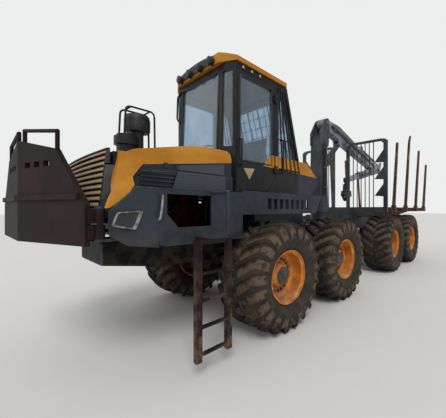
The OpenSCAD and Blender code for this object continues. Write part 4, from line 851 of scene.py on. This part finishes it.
def build_slats():
    """Bulging radiator slats in a black surround; those over the lid's lower edge ride the lid.

    A slat is a blade with chord 45 mm tilted 35 degrees, swept across the nose along
    x = ends + 0.035 (1 - (y / half)^2).
    """
    y = np.linspace(-1, 1, 25)
    bulge = 0.035 * (1 - y ** 2)
    blade = np.array([(-0.024, 0.019), (0.002, -0.006), (0.010, -0.016), (0.008, -0.024), (0.000, -0.024),
                      (-0.006, -0.012), (-0.028, 0.013)])
    sets = {"front": [], "bonnet_lid": []}
    for z in SLAT_TOP_Z - SLAT_PITCH * np.arange(SLATS):
        across = np.stack([slat_x(z) + bulge, slat_y(z) * y, np.full_like(y, z)], -1)
        rows = across[:, None] + np.column_stack([blade[:, 0], np.zeros(len(blade)), blade[:, 1]])[None]
        sets["bonnet_lid" if z > LID_SPLIT_Z else "front"].append(block_of(rows))
    piece("radiator_slats", sets["front"], "tan", "front", smooth=False)
    piece("lid_slats", sets["bonnet_lid"], "tan", "bonnet_lid", smooth=False)
    cheek = lambda z, side: [(x, side * (slat_y(z) + out), z) for x, out in
                             ((NOSE_X - 0.05, -0.02), (slat_x(z) - 0.004, -0.008), (slat_x(z) - 0.010, 0.024),
                              (NOSE_X - 0.05, 0.06))]
    cheeks = [block_of([cheek(z, side) for z in (1.575, 1.75, 1.92, 2.068)]) for side in (1, -1)]
    x = slat_x(1.575) - 0.01
    sill = block_of([[(NOSE_X - 0.05, v, 1.555), (x, v, 1.555), (x, v, 1.58),
                      (NOSE_X - 0.05, v, 1.58)] for v in (-0.97, 0.97)])
    piece("radiator_surround", cheeks + [sill], "plastic", "front", smooth=False)
    lid_cheek = lambda z, side: [(xx, side * yy, z) for xx, yy in
                                 ((NOSE_X + 0.003, 0.81), (slat_x(z) - 0.004, 0.822), (slat_x(z) - 0.010, 0.85),
                                  (NOSE_X + 0.003, 0.86))]
    lid_parts = [block_of([lid_cheek(z, side) for z in (2.085, 2.13, 2.215)]) for side in (1, -1)]
    lid_parts.append(brick((NOSE_X + 0.002, -0.86, 2.085), (NOSE_X + 0.007, 0.86, 2.225)))
    lid_parts.append(block_of([[(NOSE_X + 0.003, v * 0.84, 2.212), (slat_x(2.22) + b + 0.004, v * 0.84, 2.214),
                                (slat_x(2.22) + b, v * 0.84, 2.226), (NOSE_X + 0.003, v * 0.84, 2.232)]
                               for v, b in zip(y, bulge)]))
    piece("lid_surround", lid_parts, "plastic", "bonnet_lid", smooth=False)


def build_headlamps():
    """Cheeks that carry the nose sides forward, each with a slanted bright bezel round a smoked glass."""
    outline = [(4.70, 1.285), (4.974, 1.330), (5.122, 1.430), (5.130, 1.541), (5.126, 1.640), (5.059, 1.715),
               (4.968, 1.800), (4.92, 1.862), (4.70, 1.862)]
    faces = [side_slab(outline, side, NOSE_Y - 0.014, NOSE_Y + 0.006) for side in (1, -1)]
    piece("nose_cheeks", faces, "slate", "front", bevel=0.006)
    outer = ring_path([(5.072, 0, 1.634), (4.846, 0, 1.646), (4.916, 0, 1.470), (5.114, 0, 1.510)], 0.02, 4)[1:,
            [0, 2]]
    middle = outer.mean(0)
    toward = lambda share: middle + (outer - middle) * share
    bezels, lenses = [], []
    for side in (1, -1):
        y = side * (NOSE_Y + 0.005)
        ring = lambda o, out: np.column_stack([o[:, 0], np.full(len(o), y + side * out), o[:, 1]])
        bezels.append(skin_of(np.stack([ring(outer, 0), ring(toward(0.97), 0.016), ring(toward(0.84), 0.018),
                                        ring(toward(0.74), 0.004)]), wrap_v=True))
        lenses.append(skin_of(np.stack([ring(toward(0.75 * q), 0.004 + 0.008 * (1 - q * q)) for q in (1.0, 0.8, 0.5,
                0.02)]), wrap_v=True))
    piece("headlamp_bezels", bezels, "bright", "front")
    piece("headlamp_lenses", lenses, "smoked", "front")


def build_louvre_mesh():
    """Dark perforated sheet over the rear half of each louvre band and, on the lid, up to the ochre."""
    bands, lids, ridges = [], [], []
    x0, x1 = CAB_FRONT_X + 0.16, CAB_FRONT_X + 0.80
    for side in (1, -1):
        y = side * (BONNET_Y + 0.024)
        bands.append(slab([(x0, LEDGE_Z + 0.015), (x1 + 0.06, LEDGE_Z + 0.015), (x1, LID_Z - 0.01),
                           (x0, LID_Z - 0.01)], *sorted((y, y + side * 0.004))))
        y = side * (BONNET_Y + 0.001)
        rise = lambda x: PAINT_AT - PAINT_SLOPE * x - 0.015
        lids.append(slab([(x0, LID_Z + 0.012), (x1, LID_Z + 0.012), (x1 - 0.03, rise(x1)), (x0, rise(x0))],
                         *sorted((y, y + side * 0.004))))
        y = side * (BONNET_Y + 0.014)
        ridges.append(tube(bend([(x1 + 0.09, y, LID_Z - 0.03), (x1 + 0.40, y, LID_Z - 0.045),
                                 (x1 + 0.50, y, LEDGE_Z + 0.03)], 0.08), 0.010, 8))
    piece("louvre_mesh", bands, "mesh", "front", smooth=False)
    piece("lid_mesh", lids, "mesh", "bonnet_lid", smooth=False)
    piece("louvre_ridges", ridges, "slate", "front")


def build_bay():
    """What shows in the open service bay: filters, pipes, a pulley and the exhaust elbow on the engine."""
    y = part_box("engine")[1][1]
    x0 = NOSE_X - 0.90
    red, dark, bright = [], [], []
    for k, x in enumerate((x0 + 0.10, x0 + 0.24, x0 + 0.38)):
        can = [(0, 0), (0.05, 0), (0.055, 0.02), (0.055, 0.17), (0.04, 0.20), (0, 0.20)]
        (bright if k == 1 else dark).append(turned(can, (x, y + 0.08, 1.60), (0, 0, 1), 24))
        red.append(brick((x - 0.05, y - 0.02, 1.78), (x + 0.05, y + 0.13, 1.82)))
    red.append(turned([(0, 0), (0.10, 0), (0.10, 0.05), (0.06, 0.06), (0.06, 0.09), (0, 0.09)], (x0 + 0.02, y, 1.66),
                      (0, 1, 0), 28))
    for k in range(4):
        z = 1.58 + 0.06 * k
        dark.append(tube(bend([(x0 - 0.02, y + 0.02, z), (x0 + 0.06, y + 0.17, z + 0.02),
                               (x0 + 0.30, y + 0.20, z - 0.01), (x0 + 0.50, y + 0.02, z + 0.05)], 0.08), 0.013, 10))
    bright.append(tube(bend([(x0 + 0.45, y - 0.01, 1.62), (x0 + 0.45, y + 0.14, 1.64), (x0 + 0.40, y + 0.14, 1.86)],
                            0.08), 0.035, 16))
    piece("bay_housings", red, "engine", "front", bevel=0.006)
    piece("bay_filters", dark, "hose", "front")
    piece("bay_pipes", bright, "bright", "front")


def build_intake_hoop():
    """Pre-cleaner on its neck, ribbed round its skirt, inside a hoop of four legs and two top bars."""
    c = np.array([NOSE_X - 0.655, -0.25])
    foot = 2.38
    neck = [(0, foot), (0.078, foot), (0.078, 2.70), (0.085, 2.715)]
    can = [(0.15, 2.722), (0.158, 2.735), (0.162, 2.80), (0.160, 2.90), (0.150, 2.945), (0.10, 2.965), (0, 2.972)]
    piece("intake_canister", [turned(neck + can, (*c, 0), (0, 0, 1), 40)], "plastic", "bonnet_lid")
    top, parts = 3.03, []
    for side in (1, -1):
        y = c[1] + side * 0.10
        parts.append(tube(bend([(c[0] - 0.20, y, foot), (c[0] - 0.19, y, top), (c[0] + 0.18, y, top),
                                (c[0] + 0.21, y, foot - 0.03)], 0.07), 0.013, 12))
    for dx in (-0.13, 0.12):
        parts.append(tube(np.linspace((c[0] + dx, c[1] - 0.10, top), (c[0] + dx, c[1] + 0.10, top), 3), 0.012, 10))
    piece("intake_hoop", parts, "black", "bonnet_lid")
    ribs = [tube(circle_of((c[0], c[1], z), (0, 0, 1), 0.161, 33), 0.003, 6) for z in np.linspace(2.75, 2.89, 8)]
    piece("intake_ribs", ribs, "plastic", "bonnet_lid")


def build_bonnet_trim():
    """Seams across the lid near its right edge and two rubber latches on the left."""
    seams = [tube(np.array([(x, -0.9, 2.11), (x, -0.905, 2.3), (x, -0.88, 2.36)]), 0.006, 6) for x in (NOSE_X - 1.0,
            NOSE_X - 0.5)]
    latches = [brick((x - 0.018, 0.898, 2.10), (x + 0.018, 0.912, 2.15)) for x in (NOSE_X - 0.62, NOSE_X - 0.5)]
    piece("bonnet_latches", seams + latches, "plastic", "bonnet_lid")


build_corner_panels()
build_slats()
build_headlamps()
build_louvre_mesh()
build_bay()
build_intake_hoop()
build_bonnet_trim()


# Bolts, rails and lamps on the frames

FRAME_SIDE_Y = 0.462


def build_front_bolts():
    """Two rows of bolts along each side of the front frame."""
    rows = [hex_heads([(x, side * FRAME_SIDE_Y, z) for x in np.arange(STEER_X + 0.75, STEER_X + 3.6, 0.35)
                       for z in (1.0, 1.24)], (0, side, 0)) for side in (1, -1)]
    piece("frame_bolts", rows, "worn", "front", smooth=False)


def build_catwalk_rails():
    """Grab rails behind each door and stubs on the ledge ahead of the cab."""
    rails = []
    for side in (1, -1):
        y = side * (NOSE_Y - 0.02)
        rails.append(tube(bend([(CAB_FRONT_X + 0.10, y, CAB_Z - 0.02), (CAB_FRONT_X + 0.10, y, CAB_Z + 0.02)], 0.05),
                          0.02, 10))
        rails.append(tube(bend([(DOOR_X0 - 0.14, side * (CAB_Y + out), CAB_Z + up) for out, up in
                                ((0, 0.9), (0.075, 0.9), (0.075, 0.36), (0, 0.36))], 0.05), 0.013, 10))
    piece("grab_rails", rails, "black", "front")


def build_sockets_and_gate_bolts():
    """Collars at the stakes' sockets, and bolts on the headgate."""
    sockets = [turned([(0.050, 0.0), (0.068, 0.0), (0.068, 0.05), (0.056, 0.055), (0.050, 0.055)],
                      (x, s * (BUNK_Y - 0.058), FLOOR_Z + 0.001), (0, 0, 1), 28)
               for x in BUNK_X for s in (1, -1)]
    piece("stake_sockets", sockets, "rust", "rear")
    gate = [(GATE_X + 0.031, s * y, 1.64) for s in (1, -1) for y in (0.45, 0.75, 1.05)]
    piece("gate_bolts", [hex_heads(gate, (1, 0, 0), 0.016, 0.014)], "worn", "rear", smooth=False)


def build_tail_lamps():
    """Round lamps in plates at the tail's corners."""
    plates, red, amber = [], [], []
    for side in (1, -1):
        y = side * 0.34
        plates.append(slab(rectangle(y - 0.075, y + 0.075, 1.30, 1.39), TAIL_X - 0.014, TAIL_X + 0.005, "yz"))
        red.append(lamp_face((TAIL_X - 0.014, y - side * 0.035, 1.345), (-1, 0, 0), 0.030, 0.010))
        amber.append(lamp_face((TAIL_X - 0.014, y + side * 0.035, 1.345), (-1, 0, 0), 0.030, 0.010))
    piece("tail_lamp_plates", plates, "plastic", "rear", bevel=0.004)
    piece("tail_lamp_red", red, "red_lens", "rear")
    piece("tail_lamp_amber", amber, "amber_lens", "rear")


build_front_bolts()
build_catwalk_rails()
build_sockets_and_gate_bolts()
build_tail_lamps()


# Crane: pipes, clamps, pin caps and the slewing ring

PIVOT, KNUCKLE, TIP = (np.array(JOINTS[j]["pos_m"]) * (1, 0, 1) for j in ("boom_lift", "jib_fold", "hang_swing"))
PIPE_R, PIPE_PITCH = 0.0095, 0.034


def arm_frame(start, end):
    """Maps (along, sideways, up) from the arm's own axes to the machine's; up is square to the arm."""
    along = (end - start) / np.linalg.norm(end - start)
    side = np.array([0.0, 1.0, 0.0])
    up = np.cross(along, side)
    up = up if up[2] > 0 else -up
    return lambda p: start + np.asarray(p, float) @ np.array([along, side, up])


def build_arm_pipes(body, start, end, rows, line, clamps_at, low, high):
    """Steel pipes along both sides of an arm, and their clamps.

    line(side, row) gives a pipe's path in the arm's own axes; low and high are a left clamp's corners.
    """
    at = arm_frame(start, end)
    pipes, clamps = [], []
    for side in (1, -1):
        pipes += [tube(at(line(side, row)), PIPE_R, 8) for row in range(rows)]
        for u in clamps_at:
            v, f = brick(*(np.array(c) * (1, side, 1) + (u, 0, 0) for c in (low, high)))
            clamps.append((at(v), f))
    piece(body + "_pipes", pipes, "worn", body)
    piece(body + "_pipe_clamps", clamps, "dark", body, bevel=0.004)


def boom_line(side, row):
    """A pipe along the boom, 12 cm from its middle."""
    y, up = side * 0.121, 0.055 - PIPE_PITCH * row
    return bend([(0.25, y, up + 0.02), (0.75, y, up + 0.05), (1.6, y, up + 0.03), (3.45, y, up - 0.01)], 0.15)


def jib_line(side, row):
    """A straight pipe along the jib's box."""
    y, up = side * 0.106, 0.02 - PIPE_PITCH * row
    return np.linspace((0.75, y, up), (1.5, y, up), 6)


def pin_cap(place, side, radius):
    """A round cap with its keeper bolt on the end of a hinge pin."""
    axis = (0, side, 0)
    cap = turned([(0, 0), (radius, 0), (radius, 0.008), (radius * 0.85, 0.014), (0, 0.014)], place, axis, 28)
    return [cap, hex_heads([np.add(place, (radius * 0.45, side * 0.014, 0))], axis, 0.009, 0.008)]


def build_pin_caps():
    """Caps at the boom's pivot on the boom, and at the knuckle on the jib."""
    for name, body, place, half, radius in (("pivot_caps", "boom", PIVOT, 0.116 + 0.06, 0.058),
                                            ("knuckle_caps", "jib", KNUCKLE, 0.17, 0.044)):
        parts = []
        for side in (1, -1):
            parts += pin_cap(place + (0, side * half, 0), side, radius)
        piece(name, parts, "bright", body)


def build_column_fittings():
    """Slewing ring bolts, and three pipes up each side of the pillar in clamps."""
    ring = circle_of((CRANE_X, 0, 1.72), (0, 0, 1), 0.215, 18)
    bolts = [hex_heads(ring, (0, 0, 1), 0.014, 0.014)]
    piece("slewing_ring_bolts", bolts, "worn", "column", smooth=False)
    pipes = []
    for side in (1, -1):
        for k in range(3):
            x = CRANE_X - 0.02 + 0.045 * k
            pipes.append(tube(bend([(x, side * 0.145, 2.0), (x, side * 0.165, 2.1), (x, side * 0.165, 3.3),
                                    (x - 0.02, side * 0.145, 3.45)], 0.05), 0.012, 8))
    piece("column_pipes", pipes, "hose", "column")
    clamps = [brick((CRANE_X - 0.05, s * 0.148, z), (CRANE_X + 0.10, s * 0.182, z + 0.04)) for s in (1,
            -1) for z in (2.2, 2.7, 3.2)]
    piece("column_clamps", clamps, "dark", "column", bevel=0.004)


build_arm_pipes("boom", PIVOT, KNUCKLE, 3, boom_line, (0.45, 1.2, 2.1, 3.0), (-0.03, 0.108, -0.035),
                (0.03, 0.136, 0.115))
build_arm_pipes("jib", KNUCKLE, TIP, 2, jib_line, (0.85, 1.4), (-0.025, 0.094, -0.04), (0.025, 0.12, 0.045))
build_pin_caps()
build_column_fittings()


# Studio: pale floor and sky, soft lamps

def pale_floor():
    """A floor wide enough to reach the horizon in every view."""
    mat, tree, place = blank("pale_studio_floor")
    speck = noise(tree, place, 0.8)
    finish_surface(mat, tree, mixed(tree, speck, "#D9D7D2", "#DEDCD8"), 0.85)
    reach = 120.0
    mesh = mesh_of("floor", [(x, y, 0) for x, y in rectangle(-reach, reach, -reach, reach)], [(0, 1, 2, 3)])
    mesh.materials.append(mat)
    placed("floor", mesh)


def sky():
    """White to the camera, in reflections and through glass; a softer pale light on the object."""
    world = bpy.data.worlds.new("studio")
    bpy.context.scene.world = world
    world.use_nodes = True
    tree = world.node_tree
    tree.nodes.clear()
    ray = add(tree, "LightPath")
    seen = add(tree, "Math", {0: (ray, "Is Camera Ray"), 1: (ray, "Is Transmission Ray")}, operation="MAXIMUM")
    soft = add(tree, "Background", values={"Color": linear("#F2F4F7"), "Strength": 0.62})
    shown = add(tree, "Background", values={"Color": linear("#EDEEEE"), "Strength": 1.0})
    mix = add(tree, "MixShader", {0: (seen, 0), 1: (soft, 0), 2: (shown, 0)})
    add(tree, "OutputWorld", {"Surface": (mix, 0)})


def sun(name, direction, strength, spread):
    """A far soft lamp shining along the direction."""
    data = bpy.data.lights.new(name, "SUN")
    data.energy, data.angle = strength, np.radians(spread)
    lamp = placed(name, data)
    d = np.array(direction, float) / np.linalg.norm(direction)
    lamp.rotation_euler = (np.arccos(-d[2]), 0, np.arctan2(d[1], d[0]) + np.pi / 2 + np.pi)


pale_floor()
sky()
sun("key_lamp", (-0.55, -0.75, -1.0), 1.5, 25)
sun("fill_lamp", (-0.9, 0.5, -0.5), 0.35, 60)
